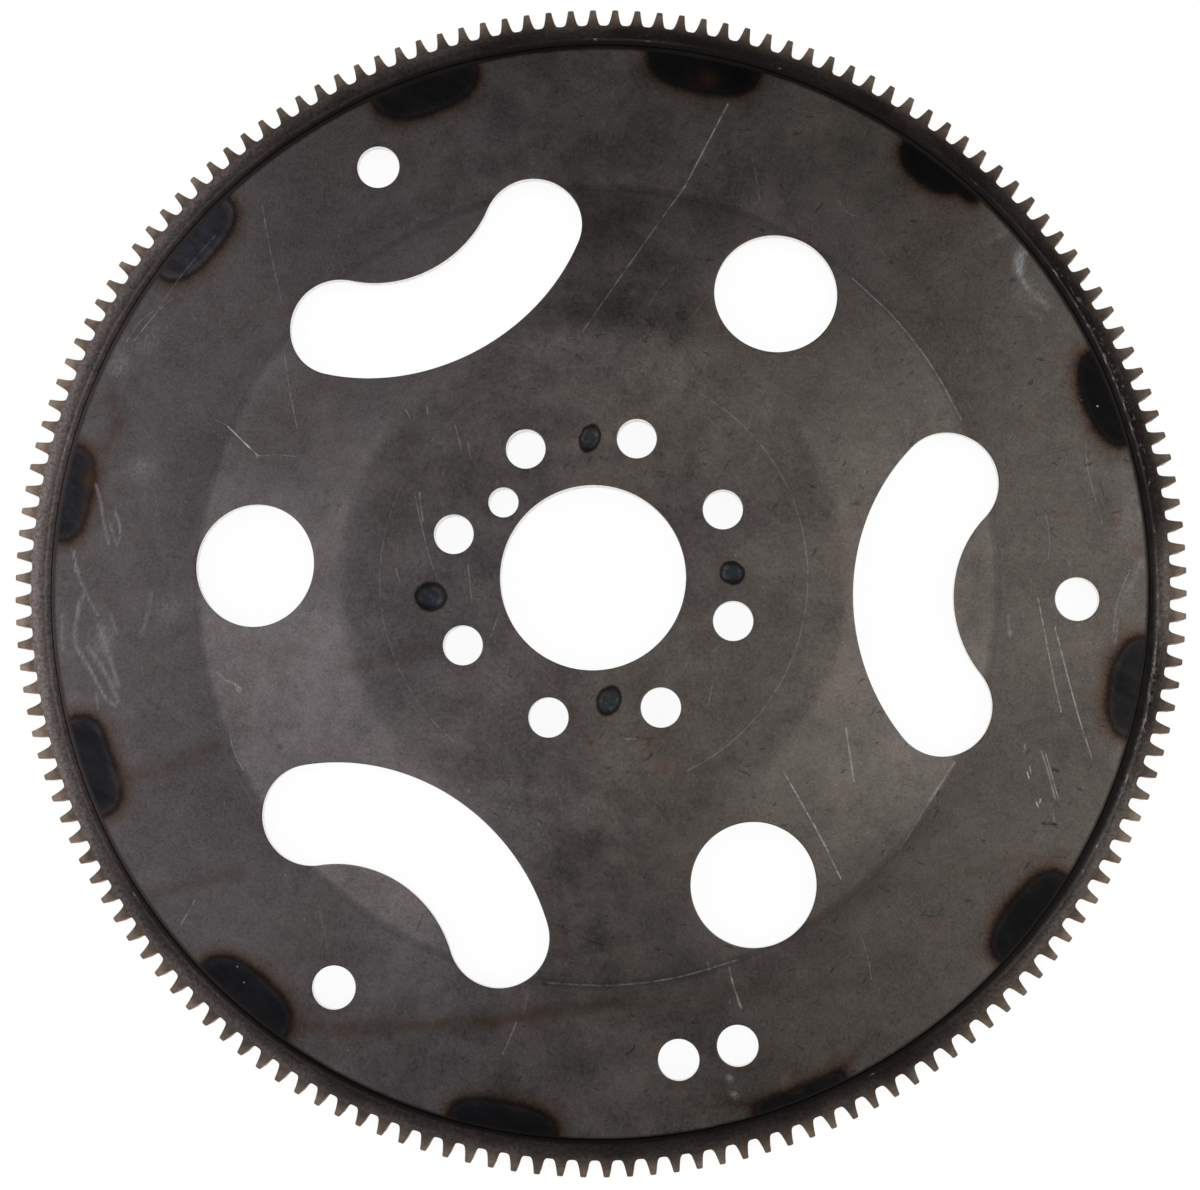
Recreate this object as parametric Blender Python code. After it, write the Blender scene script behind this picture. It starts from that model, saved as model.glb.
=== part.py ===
"""Flexplate for an automatic transmission: a dished steel disc with a starter ring gear welded round it.

The part lies on the back face of its ring gear. The origin is on the axis of the centre bore in that resting
plane. +Z points to the front, the side that the hub of the disc is raised towards, and +X runs through the first
converter bolt hole. All sizes below are in metres.
"""
import math

import bmesh
import bpy
from mathutils import Matrix
from mathutils import Vector

MM = 0.001

# Starter ring gear: 161 teeth of 12 diametral pitch
TOOTH_COUNT = 161
MODULE = 25.4 * MM / 12
TIP_RADIUS = (TOOTH_COUNT + 2) / 2 * MODULE
TOOTH_HEIGHT = 2.25 * MODULE
TIP_WIDTH = 1.8 * MM
FOOT_WIDTH = 3.25 * MM
FOOT_HEIGHT = 0.85 * MM
ROOT_WIDTH = 4.4 * MM
FIRST_TOOTH_ANGLE = math.radians(0.96)
RING_THICKNESS = 10 * MM
RING_BORE_RADIUS = 162.2 * MM
RING_CHAMFER_WIDTH = 1.5 * MM
RING_CHAMFER_DEPTH = 1.2 * MM

# Dished disc: flat hub, sloping band, flat outer flange
FIT_GAP = 0.3 * MM
DISC_THICKNESS = 3.0 * MM
DISC_RADIUS = RING_BORE_RADIUS - FIT_GAP
FLANGE_SET_BACK = 0.8 * MM
FLANGE_FRONT = RING_THICKNESS - FLANGE_SET_BACK
FLANGE_BACK = FLANGE_FRONT - DISC_THICKNESS
HUB_RISE = 7.8 * MM
HUB_FRONT = FLANGE_FRONT + HUB_RISE
HUB_BACK = HUB_FRONT - DISC_THICKNESS
INNER_BEND_RADIUS = 74.85 * MM
INNER_BEND_HALF = 4.0 * MM
OUTER_BEND_RADIUS = 117.75 * MM
OUTER_BEND_HALF = 1.5 * MM
RIM_CHAMFER = 0.4 * MM
DISC_SEGMENTS = 108

# Holes through the disc
BORE_RADIUS = 27.05 * MM
CRANK_HOLES = 8
CRANK_CIRCLE = 42.7 * MM
CRANK_HOLE_RADIUS = 5.8 * MM
CRANK_FIRST_ANGLE = math.radians(30)
DOWEL_CIRCLE = 34.3 * MM
DOWEL_RADIUS = 4.4 * MM
DOWEL_ANGLE = math.radians(142.3)
CONVERTER_HOLES = 3
CONVERTER_CIRCLE = 141.1 * MM
CONVERTER_HOLE_RADIUS = 6.35 * MM
LIGHTENING_CIRCLE = 100.3 * MM
LIGHTENING_RADIUS = 18.15 * MM
SERVICE_CIRCLE = 141.3 * MM
SERVICE_RADIUS = 5.95 * MM
SERVICE_ANGLES = (math.radians(282.5), math.radians(289.6))

# Kidney slots: each an arc round its converter hole, bulging towards the bore
SLOT_CENTRE_RADIUS = 139.7 * MM
SLOT_ARC_RADIUS = 49.4 * MM
SLOT_HALF_WIDTH = 14.75 * MM
SLOT_HALF_ANGLE = math.radians(41.5)

# Reinforcement spot-welded behind the hub
REINFORCEMENT_RADIUS = 60 * MM
REINFORCEMENT_THICKNESS = 3.0 * MM
REINFORCEMENT_TOP = HUB_BACK - FIT_GAP

# Fillet welds behind the disc, between the flange and the ring gear
WELD_ANGLES = [math.radians(a) for a in (22, 54, 81, 111, 142, 173, 202, 233, 263, 294, 325, 351)]
WELD_HALF_ANGLE = math.radians(5)
WELD_LEG = 4.0 * MM
WELD_END_SCALE = 0.35
WELD_STATIONS = 7

CUT_BELOW = -5 * MM
CUT_ABOVE = HUB_FRONT + 5 * MM


def clear_scene():
    for item in list(bpy.data.objects):
        bpy.data.objects.remove(item)


def steel(name, colour, roughness):
    """A metal finish in the given colour."""
    material = bpy.data.materials.new(name)
    material.use_nodes = True
    shader = material.node_tree.nodes["Principled BSDF"]
    shader.inputs["Base Color"].default_value = (*colour, 1)
    shader.inputs["Roughness"].default_value = roughness
    shader.inputs["Metallic"].default_value = 1.0
    return material


def add_object(name, mesh_data, material):
    """Makes a smooth-shaded object from a bmesh, with its faces pointing out."""
    bmesh.ops.recalc_face_normals(mesh_data, faces=mesh_data.faces)
    mesh = bpy.data.meshes.new(name)
    mesh_data.to_mesh(mesh)
    mesh_data.free()
    mesh.shade_smooth()
    mesh.set_sharp_from_angle(angle=math.radians(30))
    mesh.materials.append(material)
    item = bpy.data.objects.new(name, mesh)
    bpy.context.scene.collection.objects.link(item)
    return item


def polar(radius, angle):
    return (radius * math.cos(angle), radius * math.sin(angle))


def arc(centre, radius, start, end, segments):
    """Points on an arc, both ends included."""
    points = []
    for step in range(segments + 1):
        x, y = polar(radius, start + (end - start) * step / segments)
        points.append((centre[0] + x, centre[1] + y))
    return points


def circle(centre, radius, segments):
    return arc(centre, radius, 0, math.tau, segments)[:-1]


def turned(outline, segments):
    """Spins a closed outline of (radius, height) points about Z."""
    mesh_data = bmesh.new()
    corners = [mesh_data.verts.new((radius, 0, height)) for radius, height in outline]
    edges = [mesh_data.edges.new((a, b)) for a, b in zip(corners, corners[1:] + corners[:1])]
    bmesh.ops.spin(
        mesh_data,
        geom=edges,
        cent=(0, 0, 0),
        axis=(0, 0, 1),
        angle=math.tau,
        steps=segments,
        use_merge=True,
    )
    return mesh_data


def add_prism(mesh_data, outline, bottom, top):
    """Adds a closed prism over a flat outline."""
    face = mesh_data.faces.new([mesh_data.verts.new((x, y, bottom)) for x, y in outline])
    grown = bmesh.ops.extrude_face_region(mesh_data, geom=[face], use_keep_orig=True)
    lifted = [element for element in grown["geom"] if isinstance(element, bmesh.types.BMVert)]
    bmesh.ops.translate(mesh_data, verts=lifted, vec=Vector((0, 0, top - bottom)))


def add_loop(mesh_data, points, height):
    return [mesh_data.verts.new((x, y, height)) for x, y in points]


def bridge(mesh_data, first, second):
    """Closes the band between two loops of the same length with quads."""
    for index, _ in enumerate(first):
        after = (index + 1) % len(first)
        mesh_data.faces.new((first[index], first[after], second[after], second[index]))


def cutter(name, outlines):
    """Prisms that run right through the part, for a Boolean to take away."""
    mesh_data = bmesh.new()
    for outline in outlines:
        add_prism(mesh_data, outline, CUT_BELOW, CUT_ABOVE)
    item = add_object(name, mesh_data, steel(name, (0.5, 0.5, 0.5), 0.5))
    item.hide_render = True
    item.display_type = "WIRE"
    return item


def cut_with(item, tool):
    modifier = item.modifiers.new("holes", "BOOLEAN")
    modifier.operation = "DIFFERENCE"
    modifier.solver = "EXACT"
    modifier.object = tool


def crank_outlines():
    """The crankshaft bolt holes and the dowel hole beside the bore."""
    outlines = []
    for index in range(CRANK_HOLES):
        angle = CRANK_FIRST_ANGLE + index * math.tau / CRANK_HOLES
        outlines.append(circle(polar(CRANK_CIRCLE, angle), CRANK_HOLE_RADIUS, 20))
    outlines.append(circle(polar(DOWEL_CIRCLE, DOWEL_ANGLE), DOWEL_RADIUS, 16))
    return outlines


def slot_outline(angle):
    """A kidney slot: two arcs about one centre, joined by round ends."""
    centre = (SLOT_CENTRE_RADIUS, 0)
    near = math.pi - SLOT_HALF_ANGLE
    far = math.pi + SLOT_HALF_ANGLE
    near_end = (centre[0] + SLOT_ARC_RADIUS * math.cos(near), SLOT_ARC_RADIUS * math.sin(near))
    far_end = (near_end[0], -near_end[1])
    outer = arc(centre, SLOT_ARC_RADIUS + SLOT_HALF_WIDTH, near, far, 14)
    far_cap = arc(far_end, SLOT_HALF_WIDTH, far, far + math.pi, 10)
    inner = arc(centre, SLOT_ARC_RADIUS - SLOT_HALF_WIDTH, far, near, 10)
    near_cap = arc(near_end, SLOT_HALF_WIDTH, near + math.pi, near + math.tau, 10)
    points = outer + far_cap[1:] + inner[1:] + near_cap[1:-1]
    turn = Matrix.Rotation(angle, 2)
    return [tuple(turn @ Vector(point)) for point in points]


def disc_outlines():
    """Every hole of the disc apart from its bore."""
    outlines = crank_outlines()
    for index in range(CONVERTER_HOLES):
        angle = index * math.tau / CONVERTER_HOLES
        between = angle + math.pi / CONVERTER_HOLES
        outlines.append(circle(polar(CONVERTER_CIRCLE, angle), CONVERTER_HOLE_RADIUS, 20))
        outlines.append(circle(polar(LIGHTENING_CIRCLE, between), LIGHTENING_RADIUS, 36))
        outlines.append(slot_outline(angle))
    for angle in SERVICE_ANGLES:
        outlines.append(circle(polar(SERVICE_CIRCLE, angle), SERVICE_RADIUS, 20))
    return outlines


def dish_line():
    """Front face of the disc from the bore to the rim, as (radius, height) points."""
    slope = HUB_RISE / (OUTER_BEND_RADIUS - INNER_BEND_RADIUS)
    return [
        (BORE_RADIUS, HUB_FRONT),
        (INNER_BEND_RADIUS - INNER_BEND_HALF, HUB_FRONT),
        (INNER_BEND_RADIUS + INNER_BEND_HALF, HUB_FRONT - slope * INNER_BEND_HALF),
        (OUTER_BEND_RADIUS - OUTER_BEND_HALF, FLANGE_FRONT + slope * OUTER_BEND_HALF),
        (OUTER_BEND_RADIUS + OUTER_BEND_HALF, FLANGE_FRONT),
        (DISC_RADIUS - RIM_CHAMFER, FLANGE_FRONT),
    ]


def make_disc():
    front = dish_line()
    rim = [(DISC_RADIUS, FLANGE_FRONT - RIM_CHAMFER), (DISC_RADIUS, FLANGE_BACK)]
    back = [(radius, height - DISC_THICKNESS) for radius, height in reversed(front[:-1])]
    finish = steel("rolled_steel", (0.075, 0.068, 0.062), 0.45)
    disc = add_object("disc", turned(front + rim + back, DISC_SEGMENTS), finish)
    cut_with(disc, cutter("disc_cutter", disc_outlines()))


def make_hub_reinforcement():
    bottom = REINFORCEMENT_TOP - REINFORCEMENT_THICKNESS
    outline = [
        (BORE_RADIUS, bottom),
        (REINFORCEMENT_RADIUS, bottom),
        (REINFORCEMENT_RADIUS, REINFORCEMENT_TOP),
        (BORE_RADIUS, REINFORCEMENT_TOP),
    ]
    finish = steel("reinforcement_steel", (0.08, 0.073, 0.068), 0.5)
    plate = add_object("hub_reinforcement", turned(outline, 60), finish)
    cut_with(plate, cutter("reinforcement_cutter", crank_outlines()))


def tooth_points(index):
    """One tooth and half of each space beside it, anticlockwise, as points in the plane."""
    centre = FIRST_TOOTH_ANGLE + index * math.tau / TOOTH_COUNT
    root = TIP_RADIUS - TOOTH_HEIGHT
    half_profile = [(root, ROOT_WIDTH / 2), (root + FOOT_HEIGHT, FOOT_WIDTH / 2), (TIP_RADIUS, TIP_WIDTH / 2)]
    rising = [polar(radius, centre - half / radius) for radius, half in half_profile]
    falling = [polar(radius, centre + half / radius) for radius, half in reversed(half_profile)]
    return rising + falling


def make_ring_gear():
    """Teeth on the outside, a plain bore with a chamfer at the front on the inside."""
    mesh_data = bmesh.new()
    teeth = [point for index in range(TOOTH_COUNT) for point in tooth_points(index)]
    per_tooth = len(teeth) // TOOTH_COUNT
    step = math.tau / TOOTH_COUNT
    spokes = [FIRST_TOOTH_ANGLE + (index - 0.5) * step for index in range(TOOTH_COUNT)]
    bore = [polar(RING_BORE_RADIUS, angle) for angle in spokes]
    mouth = [polar(RING_BORE_RADIUS + RING_CHAMFER_WIDTH, angle) for angle in spokes]

    back_teeth = add_loop(mesh_data, teeth, 0)
    front_teeth = add_loop(mesh_data, teeth, RING_THICKNESS)
    front_mouth = add_loop(mesh_data, mouth, RING_THICKNESS)
    bore_top = add_loop(mesh_data, bore, RING_THICKNESS - RING_CHAMFER_DEPTH)
    back_bore = add_loop(mesh_data, bore, 0)
    for first, second in ((back_teeth, front_teeth), (front_mouth, bore_top), (bore_top, back_bore)):
        bridge(mesh_data, first, second)
    for outer, inner in ((back_teeth, back_bore), (front_teeth, front_mouth)):
        for index in range(TOOTH_COUNT):
            after = (index + 1) % TOOTH_COUNT
            sector = outer[index * per_tooth:(index + 1) * per_tooth] + [outer[after * per_tooth]]
            mesh_data.faces.new(sector + [inner[after], inner[index]])
    add_object("ring_gear", mesh_data, steel("ring_gear_steel", (0.03, 0.028, 0.024), 0.5))


def weld_section(scale):
    """Section of a weld bead: its corner, its two toes and the crown between them, as (radius, height)."""
    leg = WELD_LEG * scale
    corner = Vector((DISC_RADIUS, FLANGE_BACK - FIT_GAP))
    return [
        corner,
        corner + Vector((-leg, 0)),
        corner + Vector((-0.62 * leg, -0.62 * leg)),
        corner + Vector((0, -leg)),
    ]


def make_ring_weld(number, centre_angle, finish):
    """A bead swept along the joint, thinner at both ends."""
    mesh_data = bmesh.new()
    rings = []
    for station in range(WELD_STATIONS):
        along = 2 * station / (WELD_STATIONS - 1) - 1
        angle = centre_angle + along * WELD_HALF_ANGLE
        scale = WELD_END_SCALE + (1 - WELD_END_SCALE) * math.sqrt(1 - along * along)
        ring = [mesh_data.verts.new((*polar(radius, angle), height)) for radius, height in weld_section(scale)]
        rings.append(ring)
    for first, second in zip(rings, rings[1:]):
        bridge(mesh_data, first, second)
    mesh_data.faces.new(rings[0])
    mesh_data.faces.new(rings[-1])
    add_object(f"ring_weld_{number:02d}", mesh_data, finish)


def make_ring_welds():
    finish = steel("weld_steel", (0.11, 0.1, 0.095), 0.45)
    for number, angle in enumerate(WELD_ANGLES, start=1):
        make_ring_weld(number, angle, finish)


clear_scene()
make_disc()
make_hub_reinforcement()
make_ring_gear()
make_ring_welds()
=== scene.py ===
"""Visual model of a flexplate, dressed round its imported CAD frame.

Tables are in millimetres in the part's own frame: its origin is on the bore axis in the plane of the ring
gear's back, +Z points to the photographed front, and +X runs through the first converter bolt hole.
"""
import functools
import math

import bpy
import numpy as np
from mathutils import Matrix
from mathutils import Vector
from mathutils.geometry import delaunay_2d_cdt


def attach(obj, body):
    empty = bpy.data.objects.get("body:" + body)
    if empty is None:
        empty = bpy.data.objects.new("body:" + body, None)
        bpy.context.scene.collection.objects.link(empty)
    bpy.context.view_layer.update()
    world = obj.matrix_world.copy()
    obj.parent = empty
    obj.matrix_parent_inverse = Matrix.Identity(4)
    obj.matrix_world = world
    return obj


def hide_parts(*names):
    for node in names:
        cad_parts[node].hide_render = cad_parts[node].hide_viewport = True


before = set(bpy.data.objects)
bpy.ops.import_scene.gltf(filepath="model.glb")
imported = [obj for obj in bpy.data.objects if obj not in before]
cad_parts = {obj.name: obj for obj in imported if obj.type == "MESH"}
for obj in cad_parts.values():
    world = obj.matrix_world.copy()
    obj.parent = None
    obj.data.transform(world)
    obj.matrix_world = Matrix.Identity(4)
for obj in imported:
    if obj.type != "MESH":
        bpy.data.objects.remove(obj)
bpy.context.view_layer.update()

MM = 0.001

# The frame keeps touching pieces 0.3 mm apart. Here they come this close, because the photo shows no gap
JOINT_GAP = 0.05

# Disc, as in the part's source
DISC_THICKNESS = 3.0
DISC_RADIUS = 161.9
FLANGE_FRONT = 9.2
HUB_RISE = 7.8
HUB_FRONT = FLANGE_FRONT + HUB_RISE
INNER_BEND = (70.85, 78.85)
OUTER_BEND = (116.25, 119.25)
BORE_RADIUS = 27.05
CRANK_HOLES = [(42.7, 30 + 45 * index, 5.8) for index in range(8)]
DOWEL_HOLE = (34.3, 142.3, 4.4)
CONVERTER_HOLES = [(141.1, angle, 6.35) for angle in (0, 120, 240)]
LIGHTENING_HOLES = [(100.3, angle, 18.15) for angle in (60, 180, 300)]
SERVICE_HOLES = [(141.3, angle, 5.95) for angle in (282.5, 289.6)]
SLOT_TURNS = (0, 120, 240)
SLOT_CENTRE_RADIUS = 139.7
SLOT_ARC_RADIUS = 49.4
SLOT_HALF_WIDTH = 14.75
SLOT_HALF_ANGLE = math.radians(41.5)

# Reinforcement behind the hub
REINFORCEMENT_RADIUS = 60.0
REINFORCEMENT_TOP = HUB_FRONT - DISC_THICKNESS - JOINT_GAP
REINFORCEMENT_THICKNESS = 3.0
REINFORCEMENT_SLACK = 0.12

# Ring gear: 161 teeth of 12 diametral pitch and full depth
TOOTH_COUNT = 161
MODULE = 25.4 / 12
TIP_RADIUS = (TOOTH_COUNT + 2) / 2 * MODULE
TOOTH_HEIGHT = 2.25 * MODULE
ROOT_RADIUS = TIP_RADIUS - TOOTH_HEIGHT
FIRST_TOOTH = math.radians(0.96)
RING_THICKNESS = 10.0
RING_BORE = DISC_RADIUS + JOINT_GAP
MOUTH_RADIUS = 163.5
MOUTH_DEPTH = 1.0
TOOTH_BEVEL = 0.22
EDGE_KNOCK = 0.3
KNOCK_WAVES = [(37, 0.5), (83, 0.35), (151, 0.3), (263, 0.25)]

# Where the ring's chamfer runs wide: centre angle, half width in degrees, extra width
WIDE_CHAMFER = (343, 24, 1.3)

# Paler stretches of the ring, then rubbed ones: centre angle, half width in degrees, strength
RING_TONES = [
    (184, 26, 0.62),
    (148, 22, 0.32),
    (235, 45, 0.22),
    (335, 14, 0.4),
    (315, 9, 0.15),
    (1, 6, 0.45),
    (115, 18, 0.12),
]
RING_RUBS = [
    (354, 7, 1.0),
    (340, 9, 0.75),
    (24, 18, 0.9),
    (88, 6, 0.5),
    (163, 18, 0.6),
    (225, 20, 0.2),
    (322, 8, 0.4),
]

RING_SEAM = 120.0

# Radii across which the ring's colour changes: the face grows paler outwards, partly with painted glare, the
# cut teeth begin and their tips get painted glare, and handling has worn a band beside the groove
FACE_PALER_AND_GLARE = (163.8, 168.4)
TEETH_BEGIN = (166.9, 169.6)
TIPS_GLARE = (167.8, 171.8)
WORN_INSIDE = (163.6, 164.2)
WORN_OUTSIDE = (166.6, 164.9)

# Where the sheet's colour turns from bluish to warm, where the ring's does, and where the painted glare on
# the left of the disc's rim and of the ring's groove ends: x in metres
SHEET_SIDES = (-0.17, 0.15)
RING_SIDES = (-0.12, 0.12)
GLARE_ENDS = (-0.165, -0.08)

# The hub gets a painted highlight that makes it brighter than the rest of the sheet, and the outer bend gets
# painted shade that makes it duller
HUB_HIGHLIGHT_GAIN = 1.24
BEND_SHADE_GAIN = 0.8
BEND_START = (116.2, 117.6)
BEND_END = (118.6, 119.8)

# Painted shade darkens the disc's rolled rim in the gap beside the ring, and runs off centre: its middle
# radius, how far it shifts, and towards where
RIM_EDGE = (160.95, 0.45, 300)

# Beads that hold the ring to the disc's back
WELD_ANGLES = (22, 54, 81, 111, 142, 173, 202, 233, 263, 294, 325, 351)
WELD_HALF_ANGLE = 5.0
WELD_LEG = 4.0
WELD_SINK = 0.1
WELD_CROWN = 0.86
WELD_END = 0.35
BEAD_STEPS = 97
BEAD_SIDES = 13
BEAD_RIPPLES = 8
RIPPLE_DEPTH = 0.07
RIPPLE_LAG = 0.06
BEAD_TAPER = 3.2
BEAD_LEAN = (0.85, 1.05)
BEAD_COLOURS = [(0.3, (40, 38, 44)), (0.45, (62, 58, 58)), (0.58, (84, 72, 60)), (0.72, (58, 44, 36))]

# Stage: a floor, and a sky of two broad side panels and one small panel overhead
FLOOR_HEIGHT = -0.2
FLOOR_RADIUS = 12.0
FLOOR_TONE = 0.8
FLOOR_SHADE = 0.12
FLOOR_LIT = 0.93
SKY_GAP = 0.06
SKY_LEFT = (0.16, 0.35, 1.73)
SKY_RIGHT = (0.065, 0.255, 1.66)
SKY_FALL_EDGES = (0.2, 0.7)
SKY_UPPER_FALL = 0.70
SKY_LOWER_FALL = 0.50
SKY_TOP_AXIS = (0.0, 0.055, 0.9985)
SKY_TOP_EDGES = (0.122, 0.037)
SKY_TOP_LEVEL = 0.6
SKY_HORIZON_EDGES = (0.45, 0.05)
SKY_HORIZON = 1.0

# The photograph's camera
CAMERA_LENS = 64.3563
CAMERA_SHIFT = (0.0013377, 0.0006175)
CAMERA_PLACE = (0.032184, -0.059399, 0.637669)
CAMERA_AXES = (
    (0.99801887, 0.04405715, -0.04491448),
    (-0.03994326, 0.9952569, 0.08870308),
    (0.04860945, -0.08673331, 0.99504495),
)

# Stamped edges: rolled over at the front, sharper where the punch broke out at the back
RIM_ROUND = 0.2
HOLE_ROUND = 0.15
BACK_ROUND = 0.15
ROUND_STEPS = 4

# Mesh: how far apart its points lie, how far they keep from edges, the size below which a mark gets points of
# its own, and the counts of points along a slot's outer arc, each end and the inner arc
EDGE_STEP = 1.0
HOLD_OFFSET = 0.35
FRONT_SPACING = 1.7
BACK_SPACING = 2.6
SCRATCH_STEP = 1.5
GUIDE_MARGIN = 1.2
SMALL_MARK = 2
RIM_STEP = 1.4
SHARP_ANGLE = math.radians(40)
SLOT_COUNTS = (90, 44, 50)
PATCH_RINGS = (0.4, 0.8, 1.2)
SPOT_RINGS = np.arange(0.1, 1.6, 0.14)

# Heat marks of the ring welds: centre angle, half width, depth in from the rim, squareness, paleness inside
# (partly painted glare on the left)
MARK_SHOULDER = 2.0
MARK_LIMIT = 9.0
HEAT_MARKS = [
    (21.85, 15.3, 9.4, 2.0, 0.14),
    (53.3, 11.4, 9.1, 2.2, 0.03),
    (50.4, 9.1, 4.3, 2.6, 0.03),
    (80.5, 17.6, 11.8, 2.4, 0.11),
    (111.3, 17.0, 12.2, 2.4, 0.33),
    (141.7, 15.9, 10.5, 2.2, 0.94),
    (172.9, 14.7, 9.3, 2.4, 0.72),
    (202.6, 15.7, 10.4, 3.0, 0.57),
    (232.8, 16.5, 11.2, 2.3, 0.36),
    (263.0, 16.3, 8.5, 2.2, 0.33),
    (294.25, 14.5, 3.9, 5.0, 0.33),
    (324.6, 15.9, 9.7, 2.3, 0.28),
    (351.05, 15.1, 9.5, 2.0, 0.55),
]

# The one mark that stayed blue only beside the ring and went red-brown outside: the blue part's shape, and
# how many degrees to either side the red reaches
BLUE_CORE = (173.4, 13.4, 5.2, 2.6)
RED_REACH = 9

# Colour across a heat mark's edge: distance in from its outline, and shares of the bare sheet's colour
HEAT_TINTS = [
    (-5.0, (1.0, 1.0, 1.0)),
    (-2.5, (0.93, 0.88, 0.84)),
    (-1.2, (0.80, 0.70, 0.63)),
    (-0.5, (0.60, 0.50, 0.44)),
    (0.0, (0.43, 0.36, 0.32)),
    (0.5, (0.36, 0.32, 0.30)),
    (1.45, (0.45, 0.45, 0.50)),
    (2.2, (0.36, 0.37, 0.40)),
    (3.2, (0.31, 0.33, 0.37)),
]
HEAT_SPAN = (-5.0, 4.0)
SCREEN_POWER = 1.9

# Spot welds on the hub: radius, angle, half length, half width, long axis from +X in degrees
SPOT_WELDS = [
    (41.0, 93.7, 4.0, 2.8, 75),
    (40.5, 4.1, 3.4, 3.1, -20),
    (36.2, 279.9, 4.1, 3.3, 70),
    (47.6, 189.1, 4.3, 4.0, 0),
]
SPOT_DEPTH = 0.22
SPOT_LIP = (0.55, 1.05)
SPOT_FAR = 3
SPOT_COLOURS = [
    (0.0, (52, 58, 62)),
    (0.32, (47, 52, 56)),
    (0.42, (34, 35, 37)),
    (0.485, (34, 29, 27)),
    (0.53, (50, 38, 32)),
    (0.6, (70, 60, 53)),
]

# Paints, as the colours look on screen
SHEET_LEFT = (85, 80, 81)
SHEET_RIGHT = (88, 82, 77)
SHEET_RED = (88, 74, 67)
SPECK = (44, 39, 36)
GLINT = (140, 137, 134)
MARK_RUST = (48, 38, 34)
MARK_BURNT = (50, 40, 36)
MARK_DOT = (180, 178, 174)
STAIN = (70, 54, 44)
PALE_SMUDGE = (160, 159, 158)
DARK_SMUDGE = (30, 27, 25)
RUBBED = (158, 160, 163)
RUST = (104, 62, 42)
# Pale scratches, also used for painted highlights along the outer bend
PALE_SCRATCH_AND_HIGHLIGHT = (210, 208, 205)
DARK_SCRATCH = (20, 17, 15)
SPOT_BLOTCH = (84, 88, 94)
# Painted glare on the walls of the holes
WALL_GLARE_DIM = (226, 223, 219)
WALL_GLARE_FULL = (240, 238, 235)
# Painted shade on the disc's rim beside the ring, lighter on the left with painted glare
RIM_SHADE_WITH_GLARE = (54, 50, 49)
RIM_SHADE = (30, 27, 25)
RING_LEFT = (99, 91, 90)
RING_RIGHT = (95, 87, 81)
RING_OILY = (21, 16, 14)
# Painted shade in the groove beside the disc
RING_GROOVE_SHADE = (20, 16, 15)
RING_WORN = (128, 124, 119)
RING_CORNER = (150, 146, 140)
TOOTH_DARK = (67, 57, 49)
TOOTH_PALE = (87, 76, 66)

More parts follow.
